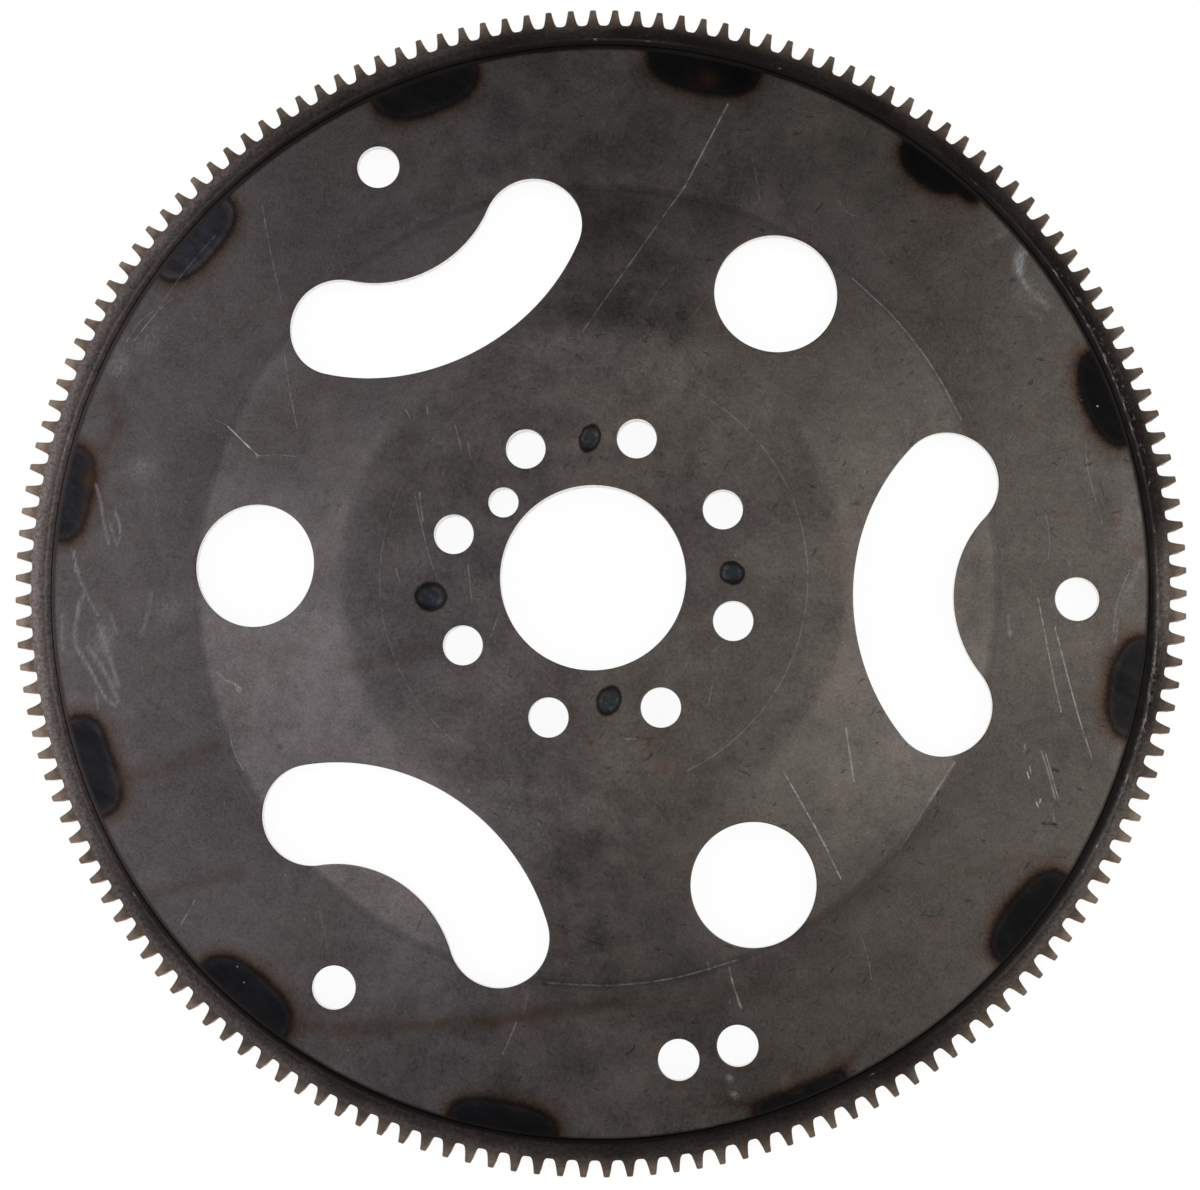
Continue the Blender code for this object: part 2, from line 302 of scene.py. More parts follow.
# Fine lines on the front: half width, strength (below 0 is dark), points
SCRATCHES = [
    (0.32, 0.5, [(33.8, 144.8), (22, 119.3)]),
    (0.28, 0.45, [(22, 119.3), (13.6, 105.7), (-6.1, 72.6)]),
    (0.2, 0.3, [(-115.5, 43.6), (-112.1, 42.1)]),
    (0.28, 0.85, [(-111.7, 41.8), (-101.8, 33.1)]),
    (0.2, 0.14, [(-101.8, 33.1), (-100, 32.8), (-96.3, 33.3), (-89.6, 32.8)]),
    (0.3, 0.4, [(129.8, -0.1), (134.9, -23.3), (137.4, -33.1)]),
    (0.3, 0.5, [(134.9, -8.4), (141.8, -32.3), (146.6, -46.3)]),
    (0.4, 0.3, [(131.9, -44.6), (134.3, -51.4), (136.3, -58.4)]),
    (0.26, 0.38, [(132.9, -44.4), (137.3, -58.6)]),
    (0.28, 0.2, [(135.7, -62.3), (136.3, -65.2)]),
    (0.3, 0.5, [(128.7, -49.1), (129.1, -51.1)]),
    (0.32, 0.8, [(128, -50.8), (128.6, -52.6)]),
    (0.34, 0.65, [(132, -58.5), (131.9, -59.6)]),
    (0.34, 0.75, [(130.9, -59.4), (131.5, -61)]),
    (0.35, 0.28, [(127.3, -42.8), (126.9, -45.1)]),
    (0.35, 0.55, [(44, -110.8), (45.8, -116.7), (48.1, -122.3)]),
    (0.22, 0.35, [(44.4, -112.8), (46.3, -117.8), (47.2, -121.5)]),
    (0.32, 0.5, [(43.1, -138.2), (47.7, -147.9)]),
    (0.26, 0.3, [(-16.8, -129.5), (-20.3, -138.8)]),
    (0.2, 0.14, [(-13.8, -121.3), (-15, -127.4)]),
    (0.24, 0.28, [(37.8, -109.6), (38.4, -112.2)]),
    (0.35, 0.42, [(57.5, -54), (68.7, -71.9), (75.3, -84)]),
    (0.4, 0.22, [(74.9, -40.5), (77.9, -55.9)]),
    (0.25, 0.2, [(82, -100.7), (83.9, -106.3), (85.2, -112.5)]),
    (0.22, 0.28, [(-53.6, 23), (-48.5, 5.5), (-45.5, -2)]),
    (0.22, 0.4, [(-57.3, 47.3), (-55.9, 45)]),
    (0.22, 0.3, [(-51.2, 48.5), (-50.6, 46.2)]),
    (0.22, 0.35, [(-52, 23), (-50.5, 14.5)]),
    (0.22, 0.35, [(-57.8, 0.3), (-56.5, -3.4)]),
    (0.22, 0.25, [(-36.6, 2.4), (-34.9, -8.9)]),
    (0.22, 0.25, [(-26.9, -11.7), (-29, -18.6)]),
    (0.22, 0.28, [(-42.5, 43.3), (-40.3, 36.4)]),
    (0.22, 0.28, [(-38.4, 38), (-37.3, 33.3)]),
    (0.22, 0.35, [(35.9, -30.3), (34.9, -35.9)]),
    (0.22, 0.35, [(31.6, -36), (31.3, -39.1)]),
    (0.26, 0.35, [(11.2, -46.5), (14.8, -46.3)]),
    (0.4, -0.35, [(16.4, 37.2), (21.6, 35), (33, 27.8)]),
    (0.3, -0.25, [(-29.5, -29.9), (-22.9, -35.2), (-17.2, -36.8)]),
    (0.24, 0.28, [(-112.9, -98.8), (-116.8, -106.6)]),
    (0.26, 0.3, [(-131.4, 79.4), (-136.5, 73.8), (-141.5, 66.6)]),
    (0.22, 0.22, [(-134.3, 77.5), (-140.1, 72.4), (-144.5, 65.2)]),
    (0.22, 0.2, [(111.5, 103.9), (114.6, 106.4), (117.5, 110.2)]),
    (0.22, 0.2, [(19.8, 93.6), (12.6, 81)]),
    (0.22, 0.2, [(29.9, 84.9), (24.8, 76.6)]),
    (0.3, -0.25, [(-0.7, 118), (14.2, 139.3)]),
    (0.3, -0.25, [(40.7, 121.1), (41.2, 114.7)]),
    (0.2, 0.18, [(131.4, 25.2), (132.8, 17), (132.4, 11.1)]),
    (0.22, 0.2, [(142.5, 46.9), (143.3, 38.1), (145.8, 29.3)]),
    (0.22, 0.24, [(157.2, 38.6), (158.9, 29.8), (159.4, 18.1), (159.1, 3.4)]),
    (0.24, 0.22, [(151.4, -11.5), (152.9, 0.2), (156.1, 9.1)]),
    (0.6, 0.17, [(107.1, -48.9), (100.3, -60.2)]),
    (0.35, 0.09, [(100.3, -60.2), (92.1, -74.9)]),
    (0.24, 0.2, [(-105.2, 109.5), (-101.9, 95.7), (-97.7, 80.6)]),
    (0.22, 0.18, [(-95.8, 64.7), (-93, 52.4), (-90, 41.4)]),
    (0.2, 0.16, [(67.6, 116.5), (71.3, 112.3), (80.3, 110.8)]),
    (0.2, 0.2, [(40.9, 130.9), (43, 123.3), (44.5, 115.7)]),
    (0.22, 0.2, [(-105.4, -50.2), (-103.9, -55.1), (-100.9, -60.3)]),
    (0.22, 0.12, [(-76.5, -98.6), (-73.2, -110)]),
    (0.45, -0.55, [(-6.4, -100.6), (3, -104.8), (7.7, -106.3)]),
    (0.3, -0.35, [(-5.4, -95.9), (-3.5, -100.8)]),
    (0.3, -0.3, [(-52, 125), (-4.8, 149.2)]),
    (0.75, -0.9, [(132.9, -65.4), (136.9, -65.6)]),
    (0.8, -0.75, [(135.5, -49.8), (136.8, -50.2)]),
    (0.35, -0.6, [(130.1, -67.8), (131.5, -68)]),
    (0.4, -0.45, [(147.1, 35.3), (147.8, 31.8), (148.7, 29.4)]),
    (0.34, -0.4, [(146.4, 29.9), (148.2, 25.9)]),
    (0.36, -0.35, [(150.6, 24.8), (151.8, 21.6)]),
    (0.3, -0.35, [(98.4, -93.3), (102.4, -93.4), (106.4, -92.4)]),
    (0.3, -0.3, [(42.4, 131.5), (44.5, 130.7)]),
    (0.34, -0.5, [(87.4, 102.2), (88.6, 101.4)]),
    (0.4, -0.45, [(11.9, 77.2), (13.8, 75.2)]),
    (0.5, -0.45, [(21, 78.9), (23.3, 79.6)]),
    (0.34, -0.35, [(17.1, 73.8), (18.7, 76.3)]),
    (0.34, -0.3, [(14.8, 79.2), (17.4, 80.6)]),
    (0.34, -0.35, [(25.2, 76.6), (26.3, 78.5)]),
]

# Soft rubbed bands of hair-fine lines: half width, strength, points
RUBS = [
    (0.9, 0.34, [(-155.6, 2.4), (-154.7, -2.2), (-153, -6.3), (-151.4, -9.4), (-153, -13.1)]),
    (1.1, 0.36, [(-153, -13.1), (-153.4, -24.1), (-149, -31.7)]),
    (0.9, 0.4, [(-149, -31.7), (-143.4, -40.5), (-140, -43.1)]),
    (0.8, 0.26, [(-150.9, -10.3), (-147.1, -16.5)]),
    (1.3, 0.34, [(-149.4, -25.8), (-142.1, -35.9), (-139.6, -41.7)]),
    (1.2, 0.3, [(-146.6, -19.3), (-139.5, -37.2)]),
    (0.9, 0.24, [(-157.9, -16.5), (-157, -27.4)]),
    (0.8, 0.22, [(-143.5, -15.5), (-140.9, -21.8)]),
    (0.8, 0.32, [(-150.3, 22.8), (-148.4, 17.4), (-147.3, 11.9), (-145.2, 5.1)]),
    (0.7, 0.36, [(-144.1, 15.2), (-142.4, 11.2), (-142, 8.4), (-142.7, 4.9)]),
    (0.7, 0.28, [(-145.2, 11), (-143.2, 5.6)]),
    (0.7, 0.26, [(-146.2, -39.3), (-145.3, -44.2)]),
    (1.2, 0.22, [(-131.6, -9.5), (-132.2, -15), (-133.6, -21.5)]),
    (1.9, 0.85, [(123.8, 103.4), (122, 101.4), (121.3, 98.8), (121.6, 96.6)]),
    (1.3, 0.55, [(121.6, 96.6), (122.6, 94.1), (125.1, 90.9)]),
    (1.1, 0.22, [(126.5, 89.4), (128.9, 87.8), (130.4, 85.6)]),
    (1, 0.18, [(125.2, 84.4), (127.6, 83.8), (129, 82.1)]),
    (0.8, 0.2, [(111.2, 104.6), (115, 106.4), (118.3, 109.3)]),
    (0.5, 0.3, [(-110.3, -31.9), (-107.4, -34.1), (-104.7, -35.1)]),
    (0.6, 0.42, [(-104.7, -35.1), (-102.5, -36.6)]),
    (0.5, 0.34, [(-104.2, -36.3), (-102.7, -37.7)]),
    (0.8, 0.3, [(121.3, -5.8), (122, -12)]),
    (0.8, 0.3, [(152.9, -5.8), (152.3, -12.3)]),
    (1.2, 0.16, [(158, 11.3), (157.7, 6.9), (156.5, 3.8)]),
]

# Fine lines that run round the axis; the pale ones at about 118 mm are painted highlights along the outer
# bend:
# half width, strength, (radius, first angle, last angle)
ARC_LINES = [
    (0.3, 0.2, (62.4, -62, 58)),
    (0.28, 0.08, (62.4, 58, 170)),
    (0.3, 0.14, (62.4, 170, 232)),
    (0.34, 0.26, (118.1, 266, 293)),
    (0.34, 0.25, (118, 26, 52)),
    (0.4, -0.3, (117.3, 78, 94)),
    (0.3, 0.12, (155.1, 140, 152)),
]

# Brown stains: half width, strength, points
STREAKS = [
    (1.8, 0.8, [(-147.4, 49), (-144.6, 42.5), (-147.7, 33.2)]),
    (2, 0.55, [(-137.9, -65.4), (-119.2, -58.1), (-109.4, -53)]),
    (1.8, 0.45, [(-126.9, -98.3), (-100.1, -89.8)]),
    (2.2, 0.8, [(-79.9, -133.1), (-68.1, -133.7), (-27.4, -130.3), (-13, -127), (11.8, -122.3)]),
    (2.2, 0.3, [(11.8, -122.3), (73.3, -114.5), (83.5, -112)]),
    (1.8, 0.35, [(74.2, -91.9), (86.7, -87.3), (137.4, -73.5)]),
    (2, 0.4, [(-69.6, -29.3), (-47.6, -23.2)]),
    (1.8, 0.25, [(-42.1, -52.6), (-6.7, -62)]),
    (2, 0.22, [(22, -57.8), (44.7, -50), (53.2, -45.6)]),
]

# Soft light (above 0) and dark patches: strength, half length, half width, axis from +X in degrees, centre
SMUDGES = [
    (0.3, 3.5, 2.6, 80, (-145.9, 58.8)),
    (0.18, 5, 3.2, 70, (-136.7, 67)),
    (0.2, 4.2, 3.4, 0, (-137.2, 28.2)),
    (0.25, 5.5, 3, 90, (-144.8, -23.7)),
    (0.18, 4, 4, 0, (-125.6, -14)),
    (0.16, 6, 3.5, 45, (125.1, 92.1)),
    (0.4, 3.4, 1.3, 105, (121.8, 99.4)),
    (0.3, 2.6, 1.5, -40, (128.4, 88.6)),
    (0.55, 0.8, 0.6, 70, (121.9, -10.7)),
    (0.4, 0.7, 0.4, 90, (138.5, 10.3)),
    (0.35, 0.6, 0.4, 90, (135.2, -16.5)),
    (0.4, 0.9, 0.6, 0, (-154.4, -3.7)),
    (-0.55, 3.4, 2, 30, (14, 76.1)),
    (-0.5, 3, 1.8, 60, (22.8, 78.4)),
    (-0.2, 7.5, 4.5, 80, (18.3, 86.3)),
    (-0.3, 3, 1.6, 0, (102.7, -93.1)),
    (-0.3, 4, 2, 60, (27, 32.6)),
    (-0.35, 0.9, 0.8, 0, (88, 101.9)),
    (-0.2, 3, 2, 0, (148.8, 28)),
    (-0.18, 6, 4, 0, (-55.5, 38.4)),
    (-0.15, 8, 5, 20, (-57.6, -35.2)),
    (-0.15, 9, 5, 20, (55.8, -39.1)),
    (0.16, 6, 3, 80, (-49.6, 38.6)),
    (0.16, 9, 4, 90, (155.8, 23.8)),
    (0.2, 3.2, 2.2, 90, (155.7, 3.3)),
]

# Broad parts of the sheet that are brighter (above 0) or duller, in columns as above
SHEET_TONES = [
    (0.33, 32, 32, 0, (38, 89)),
    (0.33, 32, 32, 0, (-36, 90)),
    (0.55, 32, 32, 0, (-38, -89)),
    (-0.25, 32, 32, 0, (-89, 38)),
    (-0.32, 45, 45, 0, (70, 120)),
    (-0.2, 45, 45, 0, (0, 140)),
    (-0.22, 45, 45, 0, (-70, 120)),
    (0.2, 45, 45, 0, (140, 0)),
    (0.1, 45, 45, 0, (120, 70)),
    (-0.16, 45, 45, 0, (0, -140)),
    (-0.12, 45, 45, 0, (70, -120)),
    (-0.12, 30, 30, 0, (-34, 34)),
    (-0.4, 18, 6, 90, (111.5, 0)),
    (-0.35, 32, 6, 45, (82, -82)),
    (-0.3, 12, 5, 15, (30, -113)),
]

# Rust specks: size, strength, centre
RUST_FALL = 1.4
RUST_SPECKS = [
    (0.9, 0.9, (1.5, -48.1)),
    (0.7, 0.8, (119.8, 67.6)),
    (0.8, 0.8, (129, 53.3)),
    (0.6, 0.6, (125.6, 49.3)),
    (0.6, 0.9, (137.2, 24.9)),
    (0.7, 0.7, (104.2, -95.9)),
    (0.6, 0.8, (-48.3, 30.3)),
    (1.2, 0.3, (141.7, -15.4)),
    (2.2, 0.2, (140.6, -30.6)),
    (1.6, 0.25, (147.7, -26.2)),
    (1.5, 0.35, (15, -29.3)),
    (2.2, 0.45, (23.2, -53.5)),
    (1.5, 0.45, (157.1, 15.9)),
    (1.8, 0.3, (152.4, 23.1)),
    (0.7, 0.5, (148.6, 10)),
    (0.8, 0.4, (126.3, 0.9)),
    (2.6, 0.3, (19.2, -47.9)),
    (1.4, 0.25, (120.4, -49.4)),
    (3, 0.14, (27.2, 152)),
    (1, 0.4, (-58, 1)),
    (2.4, 0.25, (-152.1, 24)),
    (1.8, 0.25, (44.2, -107.3)),
]


def smooth_step(low, high, value):
    share = np.clip((value - low) / (high - low), 0, 1)
    return share * share * (3 - 2 * share)


def polar(radius, degrees):
    angle = math.radians(degrees)
    return np.array([radius * math.cos(angle), radius * math.sin(angle)])


def on_circle(radius, angles):
    return np.stack([radius * np.cos(angles), radius * np.sin(angles)], axis=1)


def dish_table():
    """Front height of the disc by radius: a flat hub, a slope between two rounded bends, a flat flange."""
    radius = np.linspace(0, DISC_RADIUS, 3253)
    full_slope = -HUB_RISE / ((sum(OUTER_BEND) - sum(INNER_BEND)) / 2)
    slope = full_slope * smooth_step(*INNER_BEND, radius) * (1 - smooth_step(*OUTER_BEND, radius))
    rise = np.concatenate([[0], np.cumsum((slope[1:] + slope[:-1]) / 2 * np.diff(radius))])
    return radius, rise - rise[-1] + FLANGE_FRONT


DISH = dish_table()


def oval_measure(points, centre, half_length, half_width, axis):
    """0 at the centre of an oval and 1 on its outline."""
    turn = math.radians(axis)
    away = points - centre
    along = (away[:, 0] * math.cos(turn) + away[:, 1] * math.sin(turn)) / half_length
    across = (away[:, 1] * math.cos(turn) - away[:, 0] * math.sin(turn)) / half_width
    return np.hypot(along, across)


def spot_distance(points):
    """1 on the outline of the nearest spot weld, 0 at its centre."""
    ovals = [oval_measure(points, polar(radius, degrees), *shape) for radius, degrees, *shape in SPOT_WELDS]
    return np.minimum.reduce(ovals)


def spot_dent(points):
    """Depth of the electrode's print: a shallow cup with a soft lip."""
    return SPOT_DEPTH * (1 - smooth_step(*SPOT_LIP, spot_distance(points)))


def disc_front(points):
    return np.interp(np.hypot(*points.T), *DISH) - spot_dent(points)


def disc_back(points):
    return np.interp(np.hypot(*points.T), *DISH) - DISC_THICKNESS


def reinforcement_front(points):
    return np.full(len(points), REINFORCEMENT_TOP)


def reinforcement_back(points):
    return REINFORCEMENT_TOP - REINFORCEMENT_THICKNESS + spot_dent(points)


def round_contour(centre, radius, grows=1, step=EDGE_STEP):
    """A circle that can be drawn further into the material: grows is 1 for a hole and -1 for a rim."""
    count = max(28, int(math.tau * radius / step))
    unit = on_circle(1, np.arange(count) * math.tau / count)
    return {
        "loop": lambda offset: centre + unit * (radius + grows * offset),
        "distance": lambda points: grows * (np.hypot(*(points - centre).T) - radius),
        "round": HOLE_ROUND if grows > 0 else RIM_ROUND,
    }


def arc(centre, radius, start, end, count):
    return centre + on_circle(radius, np.linspace(start, end, count, endpoint=False))


def slot_contour(turn):
    """A kidney slot that bulges towards the bore."""
    centre = np.array([SLOT_CENTRE_RADIUS, 0])
    near = math.pi - SLOT_HALF_ANGLE
    far = math.pi + SLOT_HALF_ANGLE
    near_end = centre + SLOT_ARC_RADIUS * np.array([math.cos(near), math.sin(near)])
    far_end = near_end * (1, -1)
    turned = np.array(Matrix.Rotation(math.radians(turn), 2))
    outer, end, inner = SLOT_COUNTS

    def loop(offset):
        half = SLOT_HALF_WIDTH + offset
        parts = [
            arc(centre, SLOT_ARC_RADIUS + half, near, far, outer),
            arc(far_end, half, far, far + math.pi, end),
            arc(centre, SLOT_ARC_RADIUS - half, far, near, inner),
            arc(near_end, half, near + math.pi, near + math.tau, end),
        ]
        return np.concatenate(parts) @ turned.T

    def distance(points):
        local = points @ turned
        away = local - centre
        angle = np.arctan2(away[:, 1], -away[:, 0])
        band = np.abs(np.hypot(*away.T) - SLOT_ARC_RADIUS)
        ends = np.minimum(np.hypot(*(local - near_end).T), np.hypot(*(local - far_end).T))
        return np.where(np.abs(angle) <= SLOT_HALF_ANGLE, band, ends) - SLOT_HALF_WIDTH

    return {"loop": loop, "distance": distance, "round": HOLE_ROUND}


def polar_holes(holes):
    return [round_contour(polar(radius, degrees), size) for radius, degrees, size in holes]


def ring_points(inner, outer, spacing):
    """Points on rings about the axis, each ring turned half a step from the one before."""
    rings = []
    for number, radius in enumerate(np.arange(inner, outer, spacing)):
        count = int(math.tau * radius / spacing)
        angles = (np.arange(count) + 0.5 * (number % 2)) * math.tau / count
        rings.append(on_circle(radius, angles))
    return np.concatenate(rings)


def clear_of(points, contours, margins):
    keep = np.ones(len(points), bool)
    for contour, margin in zip(contours, margins):
        keep &= contour["distance"](points) > margin
    return points[keep]


def segment_distance(points, line):
    """Distance from each point to a polyline."""
    nearest = np.full(len(points), 1e9)
    for start, end in zip(line[:-1], line[1:]):
        run = end - start
        share = np.clip((points - start) @ run / (run @ run), 0, 1)
        nearest = np.minimum(nearest, np.hypot(*(points - start - share[:, None] * run).T))
    return nearest


def resample(line, step):
    """Evenly spaced points along a smooth curve through the given points."""
    line = np.array(line, float)
    if len(line) > 2:
        knots = np.arange(len(line))
        fine = np.linspace(0, len(line) - 1, 8 * len(line))
        line = np.stack([catmull(knots, line[:, axis], fine) for axis in (0, 1)], axis=1)
    length = np.concatenate([[0], np.cumsum(np.hypot(*np.diff(line, axis=0).T))])
    places = np.linspace(0, length[-1], max(2, int(length[-1] / step) + 1))
    return np.stack([np.interp(places, length, line[:, axis]) for axis in (0, 1)], axis=1)


def catmull(knots, values, places):
    """Catmull-Rom curve through the values."""
    padded = np.concatenate([[2 * values[0] - values[1]], values, [2 * values[-1] - values[-2]]])
    cell = np.clip(places.astype(int), 0, len(knots) - 2)
    share = places - cell
    before, start, end, after = (padded[cell + shift] for shift in range(4))
    return 0.5 * (
        2 * start
        + (end - before) * share
        + (2 * before - 5 * start + 4 * end - after) * share**2
        + (3 * start - before - 3 * end + after) * share**3
    )


def line_guides(line, half_width):
    """The line, its two sides and its two tips, as point rows that the mesh has to follow."""
    along = np.gradient(line, axis=0)
    along /= np.hypot(*along.T)[:, None]
    side = np.stack([-along[:, 1], along[:, 0]], axis=1) * half_width
    tips = np.array([line[0] - along[0] * half_width, line[-1] + along[-1] * half_width])
    middle = np.concatenate([tips[:1], line, tips[1:]])
    return [middle, line + side, line - side]


def triangulate(loops, free_points, guides):
    """Delaunay mesh inside the first loop and outside the others: points, triangles, the loops' indices."""
    rows = [*loops, free_points, *guides]
    starts = np.concatenate([[0], np.cumsum([len(row) for row in rows])])
    faces = [list(range(starts[index], starts[index + 1])) for index in range(len(loops))]
    edges = [
        (place, place + 1)
        for index in range(len(loops) + 1, len(rows))
        for place in range(starts[index], starts[index + 1] - 1)
    ]
    given = [Vector(point) for point in np.concatenate(rows)]
    points, _, triangles, sources, _, inside = delaunay_2d_cdt(given, edges, faces, 0, 1e-5, True)
    kept = [triangle for triangle, areas in zip(triangles, inside) if set(areas) == {0}]
    place_of = {source: place for place, group in enumerate(sources) for source in group}
    loop_places = [[place_of[source] for source in face] for face in faces]
    return np.array([tuple(point) for point in points]), np.array(kept), loop_places


def edge_rows(contour, front, back):
    """Rows of points from the front loop round the edge and down the wall, without the loops themselves."""
    rows = []
    turns = [math.pi / 2 * step / ROUND_STEPS for step in range(1, ROUND_STEPS + 1)]
    sides = ((front, contour["round"], -1, turns), (back, BACK_ROUND, 1, turns[::-1]))
    for surface, size, way, order in sides:
        for turn in order:
            flat = contour["loop"](size * (1 - math.sin(turn)))
            rows.append(np.column_stack([flat, surface(flat) + way * size * (1 - math.cos(turn))]))
    return rows


def band_faces(upper, lower, turned=False):
    """Quads between two closed rows of vertex numbers."""
    faces = []
    for index in range(len(upper)):
        after = (index + 1) % len(upper)
        quad = (upper[index], upper[after], lower[after], lower[index])
        faces.append(quad[::-1] if turned else quad)
    return faces


def tube_faces(count, size):
    """Quads between each row of vertices and the next."""
    rows = [range(row * size, (row + 1) * size) for row in range(count)]
    return [quad for upper, lower in zip(rows[:-1], rows[1:]) for quad in band_faces(upper, lower)]


def plate_sheet(contours, surface, rounding, spacing, reach, guides=(), extra=np.zeros((0, 2))):
    """One face of a plate, ready to join to its edges, with how far each contour's edge is rounded."""
    loops = [contour["loop"](size) for contour, size in zip(contours, rounding)]
    hold = [contour["loop"](size + HOLD_OFFSET) for contour, size in zip(contours, rounding)]
    margins = [size + HOLD_OFFSET for size in rounding]
    grid = clear_of(ring_points(*reach, spacing), contours, [margin + 0.4 * spacing for margin in margins])
    extra = clear_of(extra, contours, margins)
    points, triangles, loop_places = triangulate(loops, np.concatenate([*hold, grid, extra]), guides)
    return np.column_stack([points, surface(points)]), triangles, loop_places


def build_plate(name, contours, reach, surfaces, guides=(), extra=np.zeros((0, 2)), glare_from=0):
    """A closed plate with rounded edges: its rim, then its holes, with painted glare from the given row of
    each edge.
    """
    front, back = surfaces
    front_round = [contour["round"] for contour in contours]
    back_round = [BACK_ROUND] * len(contours)
    front_points, front_faces, front_loops = plate_sheet(
        contours, front, front_round, FRONT_SPACING, reach, guides, extra)
    back_points, back_faces, back_loops = plate_sheet(contours, back, back_round, BACK_SPACING, reach)
    shift = len(front_points)
    vertices = [front_points, back_points]
    total = shift + len(back_points)
    walls = [np.zeros(total)]
    faces = [tuple(face) for face in front_faces] + [tuple(shift + face[::-1]) for face in back_faces]
    for number, contour in enumerate(contours):
        previous = front_loops[number]
        for step, row in enumerate(edge_rows(contour, front, back)):
            current = list(range(total, total + len(row)))
            vertices.append(row)
            walls.append(np.full(len(row), number > 0 and step >= glare_from))
            faces += band_faces(previous, current, number == 0)
            total += len(row)
            previous = current
        faces += band_faces(previous, [shift + place for place in back_loops[number]], number == 0)
    return add_piece(name, np.concatenate(vertices), faces, wall=np.concatenate(walls))


def add_piece(name, points, faces, **layers):
    """Makes a smooth-shaded object from points in millimetres, without the points that no face uses."""
    used = np.unique(np.concatenate([np.asarray(face) for face in faces]))
    renumber = np.zeros(len(points), int)
    renumber[used] = np.arange(len(used))
    mesh = bpy.data.meshes.new(name)
    mesh.from_pydata((points[used] * MM).tolist(), [], [renumber[list(face)].tolist() for face in faces])
    mesh.validate()
    mesh.shade_smooth()
    mesh.set_sharp_from_angle(angle=SHARP_ANGLE)
    item = bpy.data.objects.new(name, mesh)
    bpy.context.scene.collection.objects.link(item)
    set_values(item, **{label: values[used] for label, values in layers.items()})
    return item


def vertex_points(item):
    points = np.zeros(len(item.data.vertices) * 3, np.float32)
    item.data.vertices.foreach_get("co", points)
    return points.reshape(-1, 3).astype(float) / MM


def set_values(item, **layers):
    """Gives every vertex a value in each of the named layers, for a material to read."""
    for name, values in layers.items():
        layer = item.data.attributes.new(name, "FLOAT", "POINT")
        layer.data.foreach_set("value", np.asarray(values, np.float32))


def wide_arc(radius, start, end):
    """Points along an arc about the axis, in degrees, for a line that follows a bend or a ring."""
    return on_circle(radius, np.radians(np.linspace(start, end, max(3, int(abs(end - start) / 6)))))


def even_lines(lines):
    """The same lines with evenly spaced points."""
    return [(half, strength, resample(points, SCRATCH_STEP)) for half, strength, points in lines]


def patch_points(centre, size):
    """Rings of points round a small patch, so that the mesh can hold its colour."""
    rings = [round_contour(centre, size * share)["loop"](0)[::3] for share in PATCH_RINGS]
    return np.concatenate([[centre], *rings])


def detail_points():
    """Extra mesh points where small marks need them."""
    patches = [patch_points(centre, size) for size, _, centre in RUST_SPECKS if size < SMALL_MARK]
    patches += [patch_points(centre, along) for _, along, _, _, centre in SMUDGES if along < SMALL_MARK]
    circle = round_contour(np.zeros(2), 1.0, step=0.2)["loop"](0)
    for radius, degrees, half_length, half_width, axis in SPOT_WELDS:
        turn = np.array(Matrix.Rotation(math.radians(axis), 2))
        for share in SPOT_RINGS:
            ring = circle * (half_length * share, half_width * share)
            patches.append(polar(radius, degrees) + ring @ turn.T)
    return np.concatenate(patches)


def line_values(points, lines):
    """Strength at each point of the lines: full along the middle, and nothing half a width away."""
    values = np.zeros(len(points))
    for half, strength, line in lines:
        low = line.min(axis=0) - half
        high = line.max(axis=0) + half
        near = np.flatnonzero(np.all((points > low) & (points < high), axis=1))
        share = strength * np.clip(1 - segment_distance(points[near], line) / half, 0, 1)
        stronger = np.abs(share) > np.abs(values[near])
        values[near[stronger]] = share[stronger]
    return values


def spot_values(points, shown):
    """Distance from the nearest spot weld, on the side of the plate that shows it."""
    return np.where(shown, np.minimum(spot_distance(points), SPOT_FAR), SPOT_FAR)


def streak_values(points):
    return np.maximum.reduce([
        strength * np.exp(-(segment_distance(points, line) / half) ** 2)
        for half, strength, line in even_lines(STREAKS)
    ])


def patch_values(points, patches):
    """Sum of soft oval patches."""
    return sum(
        strength * np.exp(-oval_measure(points, centre, *shape) ** 2)
        for strength, *shape, centre in patches
    )


def rust_values(points):
    return np.maximum.reduce([
        strength * np.exp(-RUST_FALL * oval_measure(points, centre, size, size, 0) ** 2)
        for size, strength, centre in RUST_SPECKS
    ])


def mark_measure(across, inwards, half_width, depth, power):
    """1 on the outline of a heat mark and less inside: straight sides near the rim, then half an ellipse."""
    side = np.abs(across) / half_width
    reach = np.maximum(inwards - MARK_SHOULDER, 0) / (depth - MARK_SHOULDER)
    return (side**power + reach**power) ** (1 / power)


def mark_inside(points, centre, *shape):
    """Distance in from the outline of a heat mark, and less than 0 outside it."""
    nudge = 0.02
    degrees = np.degrees(np.arctan2(points[:, 1], points[:, 0]))
    across = np.radians((degrees - centre + 180) % 360 - 180) * DISC_RADIUS
    inwards = DISC_RADIUS - np.hypot(*points.T)
    measure = mark_measure(across, inwards, *shape)
    steep_across = (mark_measure(across + nudge, inwards, *shape) - measure) / nudge
    steep_inwards = (mark_measure(across, inwards + nudge, *shape) - measure) / nudge
    steep = np.maximum(np.hypot(steep_across, steep_inwards), 0.02)
    return np.clip((1 - measure) / steep, -MARK_LIMIT, MARK_LIMIT)


